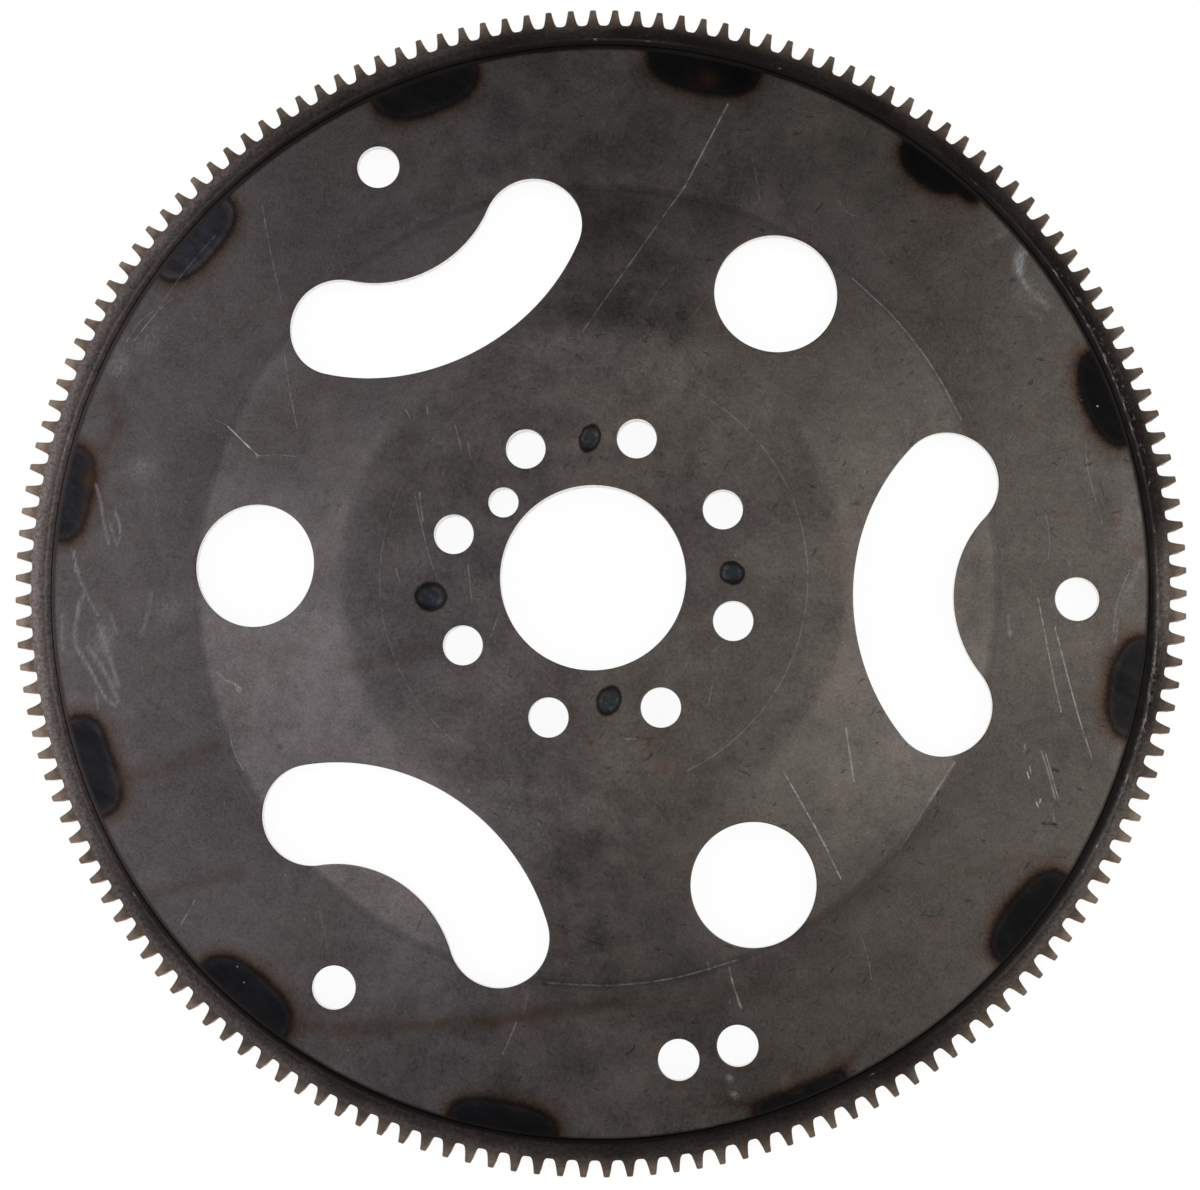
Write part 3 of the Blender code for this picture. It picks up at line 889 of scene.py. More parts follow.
def heat_mark_values(points):
    """Distance in from the nearest heat mark's outline, how pale that mark is, partly as painted glare, and
    its reddened share.
    """
    inside = np.full(len(points), -MARK_LIMIT)
    pale = np.zeros(len(points))
    for centre, half_width, depth, power, paleness in HEAT_MARKS:
        own = mark_inside(points, centre, half_width, depth, power)
        pale = np.where(own > inside, paleness, pale)
        inside = np.maximum(inside, own)
    turned = np.degrees(np.arctan2(points[:, 1], -points[:, 0])) + BLUE_CORE[0] - 180
    red = smooth_step(0.2, 1.2, -mark_inside(points, *BLUE_CORE)) * (np.abs(turned) < RED_REACH)
    return inside, pale, red


def dress_disc(item, scratches, rubs):
    """Where each mark of wear, heat, painted shade and painted highlight sits, as values that the disc's
    material reads.
    """
    points = vertex_points(item)
    flat = points[:, :2]
    radius = np.hypot(*flat.T)
    angle = np.arctan2(flat[:, 1], flat[:, 0])
    front = points[:, 2] > (disc_front(flat) + disc_back(flat)) / 2
    inside, pale, red = heat_mark_values(flat)
    middle, shift, towards = RIM_EDGE
    set_values(
        item,
        mark=inside,
        mark_pale=pale,
        mark_red=red,
        rim=radius - middle - shift * np.cos(angle - math.radians(towards)),
        scratch=line_values(flat, scratches) * front,
        rubbed=line_values(flat, rubs) * front,
        streak=streak_values(flat) * front,
        smudge=patch_values(flat, SMUDGES) * front,
        tone=np.exp(patch_values(flat, SHEET_TONES) * front),
        rust=rust_values(flat) * front,
        spot=spot_values(flat, front),
    )


def make_disc():
    holes = polar_holes([*CRANK_HOLES, DOWEL_HOLE, *CONVERTER_HOLES, *LIGHTENING_HOLES, *SERVICE_HOLES])
    rim = round_contour(np.zeros(2), DISC_RADIUS, grows=-1, step=RIM_STEP)
    bore = round_contour(np.zeros(2), BORE_RADIUS)
    contours = [rim, bore, *holes, *[slot_contour(turn) for turn in SLOT_TURNS]]
    # The pale lines near 118 mm are painted highlights along the outer bend
    arcs = [(half, strength, wide_arc(*place)) for half, strength, place in ARC_LINES]
    scratches = even_lines([*SCRATCHES, *arcs])
    rubs = even_lines(RUBS)
    guides = [row for half, _, line in [*scratches, *rubs] for row in line_guides(line, half)]
    margins = [GUIDE_MARGIN] * len(contours)
    guides = [row for row in guides if len(clear_of(row, contours, margins)) == len(row)]
    disc = build_plate(
        "disc_plate", contours, (BORE_RADIUS, DISC_RADIUS), (disc_front, disc_back), guides, detail_points(),
        ROUND_STEPS - 2)
    dress_disc(disc, scratches, rubs)
    return disc


def make_reinforcement():
    rim = round_contour(np.zeros(2), REINFORCEMENT_RADIUS, grows=-1)
    slack = REINFORCEMENT_SLACK
    bore = round_contour(np.zeros(2), BORE_RADIUS + slack)
    holes = [(radius, degrees, size + slack) for radius, degrees, size in [*CRANK_HOLES, DOWEL_HOLE]]
    contours = [rim, bore, *polar_holes(holes)]
    surfaces = (reinforcement_front, reinforcement_back)
    plate = build_plate("hub_reinforcement_plate", contours, (BORE_RADIUS, REINFORCEMENT_RADIUS), surfaces)
    points = vertex_points(plate)
    back = points[:, 2] < REINFORCEMENT_TOP - REINFORCEMENT_THICKNESS / 2
    set_values(plate, spot=spot_values(points[:, :2], back))
    return plate


def tooth_outline():
    """One tooth from mid gap to mid gap: distance from its centre line, and height above the root."""
    half_pitch = math.pi * ROOT_RADIUS / TOOTH_COUNT
    tip = [(0.40, TOOTH_HEIGHT), (0.70, TOOTH_HEIGHT - 0.05), (0.86, TOOTH_HEIGHT - 0.22)]
    flank = [(0.93, TOOTH_HEIGHT - 0.5), (1.04, 3.55), (1.17, 2.85), (1.30, 2.25), (1.41, 1.8), (1.52, 1.4)]
    fillet = [(1.64, 1.0), (1.78, 0.66), (1.98, 0.36), (2.26, 0.12), (2.64, 0.02)]
    half = np.array([*tip, *flank, *fillet])
    return np.concatenate([half[::-1] * (-1, 1), [(0, TOOTH_HEIGHT)], half, [(half_pitch, 0)]])


def ring_outline(inset):
    """The toothed rim, drawn into the material by the inset."""
    outline = tooth_outline()
    radius = ROOT_RADIUS + np.tile(outline[:, 1], TOOTH_COUNT)
    pitch = math.tau / TOOTH_COUNT
    turns = FIRST_TOOTH + np.repeat(np.arange(TOOTH_COUNT) * pitch, len(outline))
    points = on_circle(radius, turns + np.tile(outline[:, 0], TOOTH_COUNT) / radius)
    along = np.roll(points, -1, axis=0) - np.roll(points, 1, axis=0)
    along /= np.hypot(*along.T)[:, None]
    return points + inset * np.stack([-along[:, 1], along[:, 0]], axis=1)


def knocked_edge(angles, chance):
    """How far handling has knocked back the sharp inner edge of the ring's face, at each angle."""
    phases = chance.uniform(0, math.tau, len(KNOCK_WAVES))
    wave = sum(size * np.sin(count * angles + phase) for (count, size), phase in zip(KNOCK_WAVES, phases))
    return EDGE_KNOCK * np.clip(wave, 0, 1)


def around(angles, patches):
    """Strength at each angle of patches given by centre angle, half width in degrees and strength."""
    total = np.zeros(len(angles))
    for centre, half_width, strength in patches:
        turned = (np.degrees(angles) - centre + 180) % 360 - 180
        total += strength * np.exp(-(turned / half_width) ** 2)
    return total


def make_ring():
    """Toothed outside, plain bore, and a rounded chamfer at the front of the bore."""
    chance = np.random.default_rng(161)
    full = ring_outline(0)
    inset = ring_outline(TOOTH_BEVEL)
    angles = np.arctan2(full[:, 1], full[:, 0])
    knock = knocked_edge(angles, chance)
    mouth = MOUTH_RADIUS + around(angles, [WIDE_CHAMFER])
    width = mouth - RING_BORE
    top = RING_THICKNESS

    def circle(radius, height):
        return np.column_stack([on_circle(radius, angles), np.broadcast_to(height, angles.shape)])

    # Rows of points round the section, each with how deep it lies in the groove beside the disc, which sets
    # how much painted shade it gets
    rows = [
        (circle(RING_BORE + 0.3, 0), 0),
        (circle(ROOT_RADIUS - 1, 0), 0),
        (np.column_stack([inset, np.zeros(len(inset))]), 0),
        (np.column_stack([full, np.full(len(full), TOOTH_BEVEL)]), 0),
        (np.column_stack([full, np.full(len(full), top - TOOTH_BEVEL)]), 0),
        (np.column_stack([inset, np.full(len(inset), top)]), 0),
        (circle(ROOT_RADIUS - 1, top), 0),
        (circle(mouth + 1.4, top), 0),
        (circle(mouth + 0.3 + knock, top), 0),
        (circle(mouth + 0.04 + 0.6 * knock, top - 0.08 - 0.2 * knock), 0.1),
        (circle(mouth - 0.3 * width, top - 0.28), 0.45),
        (circle(mouth - 0.65 * width, top - 0.62), 0.8),
        (circle(RING_BORE + 0.12, top - MOUTH_DEPTH + 0.1), 1),
        (circle(RING_BORE, top - MOUTH_DEPTH - 0.2), 1),
        (circle(RING_BORE, 0.3), 0),
    ]
    corner_row = 9
    count = len(full)
    faces = tube_faces(len(rows), count)
    faces += band_faces(range((len(rows) - 1) * count, len(rows) * count), range(count))
    return add_piece(
        "ring_gear_toothed", np.concatenate([points for points, _ in rows]), faces,
        rub=np.tile(around(angles, RING_RUBS), len(rows)),
        tone=np.tile(around(angles, RING_TONES), len(rows)),
        groove=np.repeat([depth for _, depth in rows], count),
        corner=np.repeat([row == corner_row for row in range(len(rows))], count),
    )


def bead_section(scale):
    """Section of a bead in radius and height, from the disc's back over the crown to the ring's bore."""
    corner = np.array([DISC_RADIUS + WELD_SINK, FLANGE_FRONT - DISC_THICKNESS + WELD_SINK])
    reach = WELD_LEG * scale + WELD_SINK
    first = corner - (reach, 0)
    last = corner - (0, reach)
    bulge = corner - np.array([WELD_CROWN, WELD_CROWN]) * reach
    share = np.linspace(0, 1, BEAD_SIDES)[:, None]
    crown = first * (1 - share) ** 2 + 2 * share * (1 - share) * bulge + last * share**2
    return np.concatenate([[corner], crown])


def make_bead(number, centre):
    """A short hand-laid bead with ripples, thinner at both ends."""
    chance = np.random.default_rng(900 + number)
    lean = chance.uniform(*BEAD_LEAN)
    wander = chance.uniform(0, math.tau, 3)
    places = np.linspace(-1, 1, BEAD_STEPS)
    rows = []
    for place in places:
        taper = WELD_END + (1 - WELD_END) * (1 - abs(place) ** BEAD_TAPER) ** 0.5
        uneven = 0.03 * math.sin(5 * place + wander[0]) + 0.02 * math.sin(11 * place + wander[1])
        section = bead_section(min(1.0, taper * lean * (1 + uneven)))
        lag = np.concatenate([[0], np.sin(np.linspace(0, math.pi, BEAD_SIDES))])
        ripple = np.abs(np.sin(BEAD_RIPPLES * math.pi * (place + RIPPLE_LAG * lag) + wander[2]))
        shrink = 1 - RIPPLE_DEPTH * (1 - ripple) * (lag > 0.1)
        section = section[0] + (section - section[0]) * shrink[:, None]
        angle = math.radians(centre + place * WELD_HALF_ANGLE)
        flat = section[:, :1] * np.array([[math.cos(angle), math.sin(angle)]])
        rows.append(np.column_stack([flat, section[:, 1]]))
    sides = BEAD_SIDES + 1
    faces = tube_faces(BEAD_STEPS, sides)
    faces.append(tuple(range(sides))[::-1])
    faces.append(tuple((BEAD_STEPS - 1) * sides + side for side in range(sides)))
    return add_piece(f"ring_weld_bead_{number:02d}", np.concatenate(rows), faces)


def paint(colour):
    """A colour given as it looks on screen, 0 to 255, as Blender's linear value."""
    shares = [value / 255 for value in colour]
    return (*[share / 12.92 if share <= 0.04045 else ((share + 0.055) / 1.055) ** 2.4 for share in shares], 1)


class Wiring:
    """Adds nodes to one node tree. A value given to a node is either a number or another node's output."""

    def __init__(self, tree):
        self.tree = tree
        tree.nodes.clear()

    def node(self, kind, values=(), **settings):
        node = self.tree.nodes.new(kind)
        for name, setting in settings.items():
            setattr(node, name, setting)
        for place, value in (values.items() if isinstance(values, dict) else enumerate(values)):
            if isinstance(value, bpy.types.NodeSocket):
                self.tree.links.new(value, node.inputs[place])
            elif value is not None:
                node.inputs[place].default_value = value
        return node

    def maths(self, operation, *values, clamp=False):
        return self.node("ShaderNodeMath", values, operation=operation, use_clamp=clamp).outputs[0]

    def add(self, *values):
        return functools.reduce(lambda total, value: self.maths("ADD", total, value), values)

    def times(self, *values):
        return functools.reduce(lambda total, value: self.maths("MULTIPLY", total, value), values)

    def swing(self, pattern, size):
        """A pattern of about a half, moved to swing about zero."""
        return self.times(self.add(pattern, -0.5), size)

    def above_zero(self, value):
        return self.maths("MAXIMUM", value, 0)

    def place(self):
        return self.node("ShaderNodeTexCoord").outputs["Object"]

    def mapping(self, vector, **values):
        return self.node("ShaderNodeMapping", {"Vector": vector, **values}).outputs[0]

    def turned(self, vector, degrees):
        return self.mapping(vector, Rotation=(0, 0, math.radians(degrees)))

    def stretched(self, vector, scale, turn=0.0):
        """Coordinates for a pattern that runs one way: turned about the bore's axis, then scaled."""
        return self.mapping(self.turned(vector, turn), Scale=scale)

    def noise(self, vector, scale, detail=2.0, rough=0.5, warp=0.0):
        values = {"Vector": vector, "Scale": scale, "Detail": detail, "Roughness": rough, "Distortion": warp}
        return self.node("ShaderNodeTexNoise", values).outputs[0]

    def step(self, value, low, high, to_low=0.0, to_high=1.0):
        """Soft step of the value between low and high."""
        values = {0: value, 1: low, 2: high, 3: to_low, 4: to_high}
        return self.node("ShaderNodeMapRange", values, interpolation_type="SMOOTHSTEP").outputs[0]

    def mix(self, share, first, second, blend="MIX"):
        values = {0: share, 6: first, 7: second}
        return self.node("ShaderNodeMix", values, data_type="RGBA", blend_type=blend).outputs[2]

    def coat(self, colour, shade, *amounts):
        """Lays a paint over a colour, as thickly as the product of the amounts."""
        return self.mix(self.times(*amounts), colour, paint(shade))

    def ramp(self, value, stops, convert=paint):
        """Colour by value, from pairs of place and colour."""
        node = self.node("ShaderNodeValToRGB", [value])
        elements = node.color_ramp.elements
        while len(elements) < len(stops):
            elements.new(0.5)
        for element, (place, colour) in zip(elements, stops):
            element.position = place
            element.color = convert(colour)
        return node.outputs[0]

    def mark(self, name):
        return self.node("ShaderNodeAttribute", attribute_name=name).outputs["Fac"]

    def bump(self, height, strength, distance):
        values = {"Height": height, "Strength": strength, "Distance": distance}
        return self.node("ShaderNodeBump", values).outputs[0]

    def brighten(self, colour, amount):
        """Multiplies a colour by a number."""
        combined = self.node("ShaderNodeCombineColor", [amount, amount, amount]).outputs[0]
        return self.mix(1.0, colour, combined, "MULTIPLY")

    def parts(self, vector):
        return self.node("ShaderNodeSeparateXYZ", [vector]).outputs

    def radius(self, vector):
        """Distance from the bore's axis, in millimetres."""
        flat = self.node("ShaderNodeVectorMath", [vector, (1000, 1000, 0)], operation="MULTIPLY").outputs[0]
        return self.node("ShaderNodeVectorMath", [flat], operation="LENGTH").outputs["Value"]

    def unrolled(self, vector):
        """Length along the rim, distance from the axis, and height. The seam lies in a tooth gap."""
        x, y, z = self.parts(self.turned(vector, RING_SEAM))
        along = self.times(self.maths("ARCTAN2", y, x), ROOT_RADIUS * MM)
        out = self.times(self.radius(vector), MM)
        return self.node("ShaderNodeCombineXYZ", [along, out, z]).outputs[0]


def new_steel(name, metallic):
    """A material whose shader waits for its colour, roughness and normal."""
    material = bpy.data.materials.new(name)
    material.use_nodes = True
    wiring = Wiring(material.node_tree)
    shader = wiring.node("ShaderNodeBsdfPrincipled", {"Metallic": metallic})
    output = wiring.node("ShaderNodeOutputMaterial")
    material.node_tree.links.new(shader.outputs[0], output.inputs[0])
    return material, wiring, shader


def connect(wiring, shader, colour, roughness, normal):
    for name, value in (("Base Color", colour), ("Roughness", roughness), ("Normal", normal)):
        wiring.tree.links.new(value, shader.inputs[name])


def sheet_steel(w, place):
    """Bare cold-rolled sheet: bluish to one side, warm to the other, mottled, grained and specked."""
    side = w.step(w.parts(place)[0], *SHEET_SIDES)
    drift = w.add(side, w.swing(w.noise(place, 16, 3), 1.3))
    colour = w.mix(w.step(drift, 0.05, 0.95), paint(SHEET_LEFT), paint(SHEET_RIGHT))
    red = w.step(w.noise(place, 46, 5, 0.7, 0.6), 0.52, 0.78)
    colour = w.coat(colour, SHEET_RED, red, 0.3)
    clouds = w.add(w.times(w.noise(place, 26, 4, 0.6), 0.42), w.times(w.noise(place, 95, 4, 0.65), 0.32),
                   w.times(w.noise(place, 330, 3, 0.65), 0.26))
    grain = w.noise(w.stretched(place, (900, 700, 300)), 1, 3, 0.6)
    fine = w.noise(place, 1500, 3, 0.75)
    level = w.add(w.step(clouds, 0.3, 0.7, 0.74, 1.26), w.swing(grain, 0.35),
                  w.swing(fine, 1.4))
    colour = w.brighten(colour, level)
    for turn, size in ((28, 620), (-64, 780), (80, 540)):
        specks = w.step(w.noise(w.stretched(place, (1, 0.28, 1), turn), size, 2, 0.5), 0.665, 0.72)
        clumps = w.step(w.noise(place, 70 + size / 20, 3, 0.6), 0.44, 0.62)
        colour = w.coat(colour, SPECK, specks, w.times(clumps, w.step(side, 0.1, 0.6, 0.25, 0.6)))
    glints = w.step(w.noise(w.stretched(place, (1, 0.4, 1), -12), 1150, 1), 0.75, 0.8)
    colour = w.coat(colour, GLINT, glints, 0.3)
    return colour, grain, fine


def heat_tint(shares):
    """Shares of a colour as it looks on screen, as Blender's linear value."""
    return (*[share**SCREEN_POWER for share in shares], 1)


def with_heat_marks(w, place, colour):
    """Oxide from the ring welds: a straw halo, a brown outline, and blue-black inside with a paler line."""
    pale = w.mark("mark_pale")
    wobble = w.swing(w.noise(place, 130, 3, 0.6), 0.9)
    ragged = w.swing(w.noise(place, 900, 3, 0.7), 1.7)
    inside = w.add(w.mark("mark"), wobble, ragged)
    low, high = HEAT_SPAN
    share = w.node("ShaderNodeMapRange", [inside, low, high, 0, 1]).outputs[0]
    stops = [((distance - low) / (high - low), shares) for distance, shares in HEAT_TINTS]
    colour = w.mix(1.0, colour, w.ramp(share, stops, heat_tint), "MULTIPLY")
    within = w.step(inside, -0.2, 0.9)
    # The paleness inside a mark is partly painted glare on the left side
    level = w.maths("POWER", w.add(0.36, w.times(pale, 1.25)), SCREEN_POWER)
    clouds = w.step(w.noise(w.stretched(place, (1, 3, 1), 35), 90, 4, 0.65), 0.3, 0.7, 0.72, 1.32)
    level = w.add(1, w.times(within, w.add(w.times(level, clouds), -1)))
    colour = w.brighten(colour, level)
    rusty = w.step(w.noise(place, 95, 4, 0.65), 0.56, 0.72)
    colour = w.coat(colour, MARK_RUST, rusty, within, 0.12)
    scorch = w.step(inside, -0.9, 0.6)
    burnt = w.times(w.mark("mark_red"), scorch, w.step(w.noise(place, 150, 5, 0.75), 0.3, 0.62, 0.25, 1))
    colour = w.coat(colour, MARK_BURNT, burnt, 0.8)
    dots = w.times(w.step(w.noise(place, 430, 1), 0.785, 0.81), within)
    return w.coat(colour, MARK_DOT, dots), within


def with_wear(w, place, colour):
    """Scratches, rubs, stains, rust and soft patches, and painted highlights along the outer bend drawn as
    scratches.
    """
    streak = w.times(w.mark("streak"), w.step(w.noise(place, 150, 3, 0.6), 0.25, 0.7, 0.4, 1))
    colour = w.coat(colour, STAIN, streak)
    smudge = w.mark("smudge")
    cloudy = w.step(w.noise(w.stretched(place, (1, 0.7, 1)), 1100, 3, 0.65), 0.36, 0.66, 0.2, 1.2)
    colour = w.coat(colour, PALE_SMUDGE, w.above_zero(smudge), cloudy)
    colour = w.coat(colour, DARK_SMUDGE, w.above_zero(w.times(smudge, -1)), cloudy)
    hairs = w.step(w.noise(w.stretched(place, (2600, 420, 300), 18), 1, 3, 0.7), 0.36, 0.66, 0.15, 1.25)
    colour = w.coat(colour, RUBBED, w.mark("rubbed"), hairs)
    colour = w.coat(colour, RUST, w.mark("rust"))
    broken = w.times(
        w.step(w.noise(place, 330, 3, 0.7), 0.34, 0.6, 0.2, 1),
        w.step(w.noise(place, 2100, 1), 0.3, 0.6, 0.6, 1),
    )
    # Pale scratches and painted highlights along the outer bend
    scratch = w.mark("scratch")
    colour = w.coat(colour, PALE_SCRATCH_AND_HIGHLIGHT, w.above_zero(scratch), broken, 1.05)
    colour = w.coat(colour, DARK_SCRATCH, w.above_zero(w.times(scratch, -1)), broken, 1.2)
    return colour


def with_spot_welds(w, place, colour):
    """A spot weld's print: dark blue with paler blotches, a thin dark outline and a burnt line outside."""
    ring = w.add(w.mark("spot"), w.swing(w.noise(place, 420, 3, 0.65), 0.3))
    print_colour = w.ramp(w.times(ring, 0.5), SPOT_COLOURS)
    blotch = w.step(w.noise(place, 520, 4, 0.7), 0.48, 0.68)
    print_colour = w.coat(print_colour, SPOT_BLOTCH, blotch, w.step(ring, 0.95, 0.6), 0.6)
    return w.mix(w.step(ring, 1.22, 1.06), colour, print_colour)


def with_glare_walls(w, place, colour):
    """The walls of the holes are painted near white as painted glare."""
    upright = w.step(w.noise(w.stretched(place, (900, 900, 160)), 1, 3, 0.6), 0.3, 0.7)
    return w.mix(w.mark("wall"), colour, w.mix(upright, paint(WALL_GLARE_DIM), paint(WALL_GLARE_FULL)))


def disc_steel():
    material, w, shader = new_steel("disc_bare_steel", 0.9)
    place = w.place()
    colour, grain, fine = sheet_steel(w, place)
    radius = w.radius(place)
    # Painted shade dulls the outer bend, and a painted highlight brightens the hub
    inner_side = w.step(radius, *BEND_START, 1, BEND_SHADE_GAIN)
    bend = w.maths("MAXIMUM", inner_side, w.step(radius, *BEND_END, BEND_SHADE_GAIN, 1))
    colour = w.brighten(colour, w.times(w.mark("tone"), bend, w.step(radius, *INNER_BEND, HUB_HIGHLIGHT_GAIN, 1)))
    colour, within = with_heat_marks(w, place, colour)
    colour = with_spot_welds(w, place, colour)
    colour = with_wear(w, place, colour)
    colour = with_glare_walls(w, place, colour)
    # Painted shade along the disc's rim in the gap beside the ring, lighter on the left with painted glare
    rim = w.add(w.mark("rim"), w.swing(w.noise(place, 420, 2, 0.6), 0.3))
    rim_shade_paint = w.mix(w.step(w.parts(place)[0], *GLARE_ENDS), paint(RIM_SHADE_WITH_GLARE), paint(RIM_SHADE))
    colour = w.mix(w.step(rim, -0.6, 0.5), colour, rim_shade_paint)
    rough = w.add(w.step(w.noise(place, 70, 3, 0.6), 0.3, 0.7, 0.27, 0.39), w.swing(grain, 0.12),
                  w.times(within, 0.06))
    height = w.add(w.times(grain, 0.5), w.times(fine, 0.5), w.times(w.mark("scratch"), -0.8))
    connect(w, shader, colour, rough, w.bump(height, 0.16, 0.0002))
    return material


def reinforcement_steel():
    material, w, shader = new_steel("hub_reinforcement_bare_steel", 0.9)
    place = w.place()
    colour, grain, fine = sheet_steel(w, place)
    colour = with_glare_walls(w, place, with_spot_welds(w, place, colour))
    rough = w.add(w.step(w.noise(place, 70, 3, 0.6), 0.3, 0.7, 0.38, 0.52), w.swing(grain, 0.12))
    connect(w, shader, colour, rough, w.bump(w.add(grain, fine), 0.14, 0.0002))
    return material


def ring_steel():
    """Dark oiled steel: nearly black with painted shade in the groove beside the disc, browner and paler on
    the cut teeth.
    """
    material, w, shader = new_steel("ring_gear_dark_steel", 0.85)
    place = w.place()
    rolled = w.unrolled(place)
    radius = w.radius(place)
    blotch = w.noise(w.stretched(rolled, (0.4, 1, 1)), 130, 4, 0.65)
    side = w.step(w.parts(place)[0], *RING_SIDES)
    pale = w.mix(side, paint(RING_LEFT), paint(RING_RIGHT))
    tone = w.add(w.mark("tone"), w.swing(blotch, 0.55))
    colour = w.mix(w.step(tone, -0.1, 0.95), paint(RING_OILY), pale)
    # The face grows paler outwards, partly with painted glare
    colour = w.brighten(colour, w.step(radius, *FACE_PALER_AND_GLARE, 0.84, 2.45))
    grit = w.noise(place, 900, 3, 0.7)
    colour = w.brighten(colour, w.step(grit, 0.25, 0.75, 0.52, 1.5))
    tooth = w.mix(w.step(w.noise(place, 130, 3, 0.6), 0.3, 0.7), paint(TOOTH_DARK), paint(TOOTH_PALE))
    tooth = w.brighten(tooth, w.step(grit, 0.25, 0.75, 0.8, 1.2))
    # Painted glare on the tooth tips, stronger where the ring's tone is pale
    tip_glare = w.times(w.step(radius, *TIPS_GLARE, 0.85, 1.95), w.step(w.mark("tone"), 0, 0.8, 1, 2.1))
    tooth = w.brighten(tooth, tip_glare)
    colour = w.mix(w.step(w.add(radius, w.times(blotch, 1.4)), *TEETH_BEGIN), colour, tooth)
    rub = w.mark("rub")
    lines = w.noise(w.stretched(rolled, (0.6, 1, 1)), 700, 4, 0.7)
    worn = w.step(w.add(lines, w.times(rub, 0.16)), 0.67, 0.8)
    band = w.times(w.step(radius, *WORN_INSIDE), w.step(radius, *WORN_OUTSIDE))
    colour = w.coat(colour, RING_WORN, worn, band, 0.5)
    # Painted shade in the groove beside the disc, weaker on the left under the painted glare
    groove = w.mark("groove")
    groove_shade = w.times(w.step(groove, 0, 0.85), w.step(w.parts(place)[0], *GLARE_ENDS, 0.45, 1))
    colour = w.coat(colour, RING_GROOVE_SHADE, groove_shade)
    nicks = w.noise(w.stretched(rolled, (0.5, 1, 1)), 700, 3, 0.6)
    nicks = w.step(w.add(nicks, w.times(rub, 0.16)), 0.66, 0.76)
    line = w.add(w.times(nicks, 0.6), w.times(w.mark("tone"), 0.12), w.times(rub, 0.15))
    colour = w.coat(colour, RING_CORNER, line, w.mark("corner"))
    rough = w.step(w.noise(place, 240, 3, 0.6), 0.3, 0.7, 0.42, 0.62)
    connect(w, shader, colour, rough, w.bump(w.add(grit, w.times(worn, -0.5)), 0.35, 0.0003))
    return material


def weld_steel():
    material, w, shader = new_steel("weld_bead_steel", 0.85)
    place = w.place()
    oxide = w.noise(place, 150, 4, 0.6)
    colour = w.ramp(oxide, BEAD_COLOURS)
    grit = w.noise(place, 1200, 3, 0.7)
    colour = w.brighten(colour, w.step(grit, 0.25, 0.75, 0.75, 1.25))
    rough = w.step(oxide, 0.3, 0.7, 0.34, 0.6)
    connect(w, shader, colour, rough, w.bump(grit, 0.3, 0.0003))
    return material


def pale_floor():
    """A pale floor that the camera and reflections see as white, but for the object's shadow."""
    material = bpy.data.materials.new("pale_floor")
    material.use_nodes = True
    w = Wiring(material.node_tree)
    plain = w.node("ShaderNodeBsdfDiffuse", {"Color": (FLOOR_TONE, FLOOR_TONE, FLOOR_TONE, 1)}).outputs[0]
    shaded = w.node("ShaderNodeBsdfDiffuse", {"Color": (FLOOR_SHADE, FLOOR_SHADE, FLOOR_SHADE, 1)}).outputs[0]
    lit = w.node("ShaderNodeEmission", {"Color": (1, 1, 1, 1), "Strength": FLOOR_LIT}).outputs[0]
    seen = w.node("ShaderNodeAddShader", [shaded, lit]).outputs[0]
    rays = w.node("ShaderNodeLightPath").outputs
    direct = w.maths("ADD", rays["Is Camera Ray"], rays["Is Glossy Ray"], clamp=True)
    direct = w.maths("ADD", direct, rays["Is Transmission Ray"], clamp=True)
    surface = w.node("ShaderNodeMixShader", [direct, plain, seen]).outputs[0]
    w.node("ShaderNodeOutputMaterial", [surface])
    return material


def build_floor():
    bpy.ops.mesh.primitive_circle_add(
        vertices=128, radius=FLOOR_RADIUS, fill_type="NGON", location=(0, 0, FLOOR_HEIGHT * MM))
    floor = bpy.context.object
    floor.name = "floor"
    floor.data.materials.append(pale_floor())


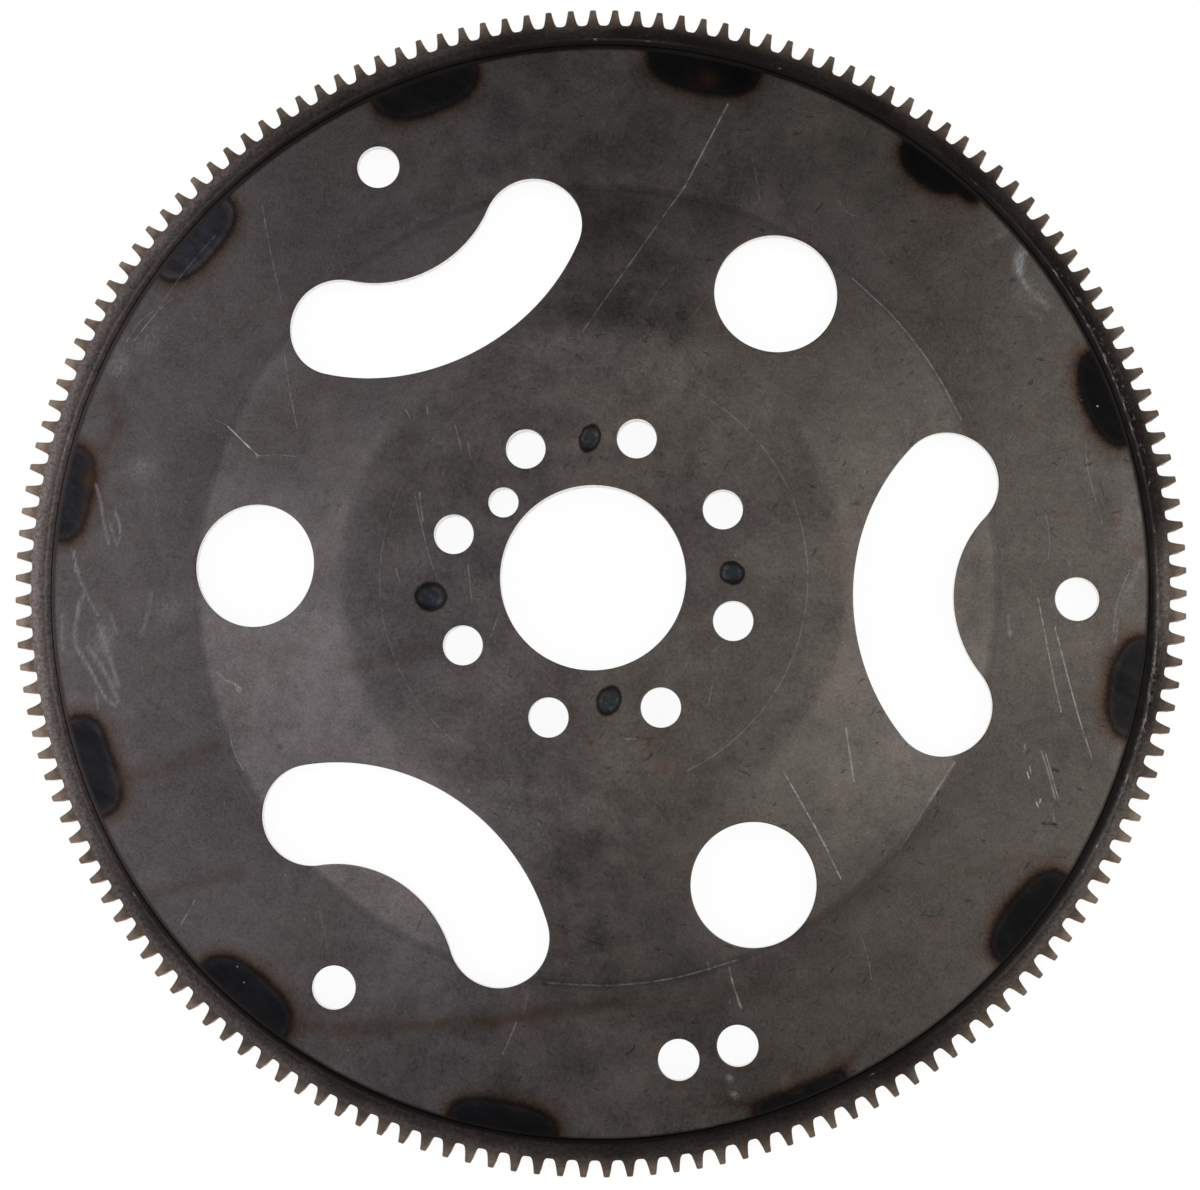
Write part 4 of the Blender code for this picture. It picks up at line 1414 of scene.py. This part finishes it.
def build_world():
    """Soft light from two broad panels at the sides, a small one overhead and a pale horizon."""
    world = bpy.data.worlds.new("studio")
    bpy.context.scene.world = world
    world.use_nodes = True
    w = Wiring(world.node_tree)
    direction = w.node("ShaderNodeTexCoord").outputs["Generated"]
    x, y, z = w.parts(direction)
    steep = w.maths("MAXIMUM", z, 0.01)
    sideways = w.maths("DIVIDE", x, steep)
    forwards = w.maths("DIVIDE", y, steep)
    left = w.step(w.times(sideways, -1), *SKY_LEFT[:2], 0, SKY_LEFT[2] - SKY_GAP)
    right = w.step(sideways, *SKY_RIGHT[:2], 0, SKY_RIGHT[2] - SKY_GAP)
    panels = w.add(left, right, SKY_GAP)
    upper = w.step(forwards, *SKY_FALL_EDGES, 1, 1 - SKY_UPPER_FALL)
    lower = w.step(w.times(forwards, -1), *SKY_FALL_EDGES, 1, 1 - SKY_LOWER_FALL)
    off_axis = w.node("ShaderNodeVectorMath", [direction, SKY_TOP_AXIS], operation="DISTANCE").outputs[1]
    level = w.add(w.times(panels, upper, lower), w.times(w.step(off_axis, *SKY_TOP_EDGES), SKY_TOP_LEVEL))
    horizon = w.step(z, *SKY_HORIZON_EDGES)
    level = w.add(level, w.times(horizon, w.add(SKY_HORIZON, w.times(level, -1))))
    sky = w.node("ShaderNodeBackground", {"Color": (1, 1, 1, 1), "Strength": level}).outputs[0]
    w.node("ShaderNodeOutputWorld", [sky])


def build_camera():
    data = bpy.data.cameras.new("photo_camera")
    data.sensor_width = 36
    data.lens = CAMERA_LENS
    data.shift_x, data.shift_y = CAMERA_SHIFT
    data.dof.use_dof = False
    camera = bpy.data.objects.new("photo_camera", data)
    bpy.context.scene.collection.objects.link(camera)
    turn = Matrix(CAMERA_AXES).transposed().to_4x4()
    camera.matrix_world = Matrix.Translation(CAMERA_PLACE) @ turn
    bpy.context.scene.camera = camera
    bpy.context.scene.view_settings.view_transform = "Standard"


def keep(item, material, slot, *nodes):
    """Gives a piece its material, its place on the body and the CAD nodes that it stands for."""
    item.data.materials.append(material)
    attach(item, "root")
    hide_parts(*nodes)


keep(make_disc(), disc_steel(), "disc_steel", "disc")
keep(make_reinforcement(), reinforcement_steel(), "reinforcement_steel", "hub_reinforcement")
keep(make_ring(), ring_steel(), "ring_gear_steel", "ring_gear")
BEAD_STEEL = weld_steel()
for number, angle in enumerate(WELD_ANGLES, 1):
    keep(make_bead(number, angle), BEAD_STEEL, "weld_steel", f"ring_weld_{number:02d}")
build_floor()
build_world()
build_camera()
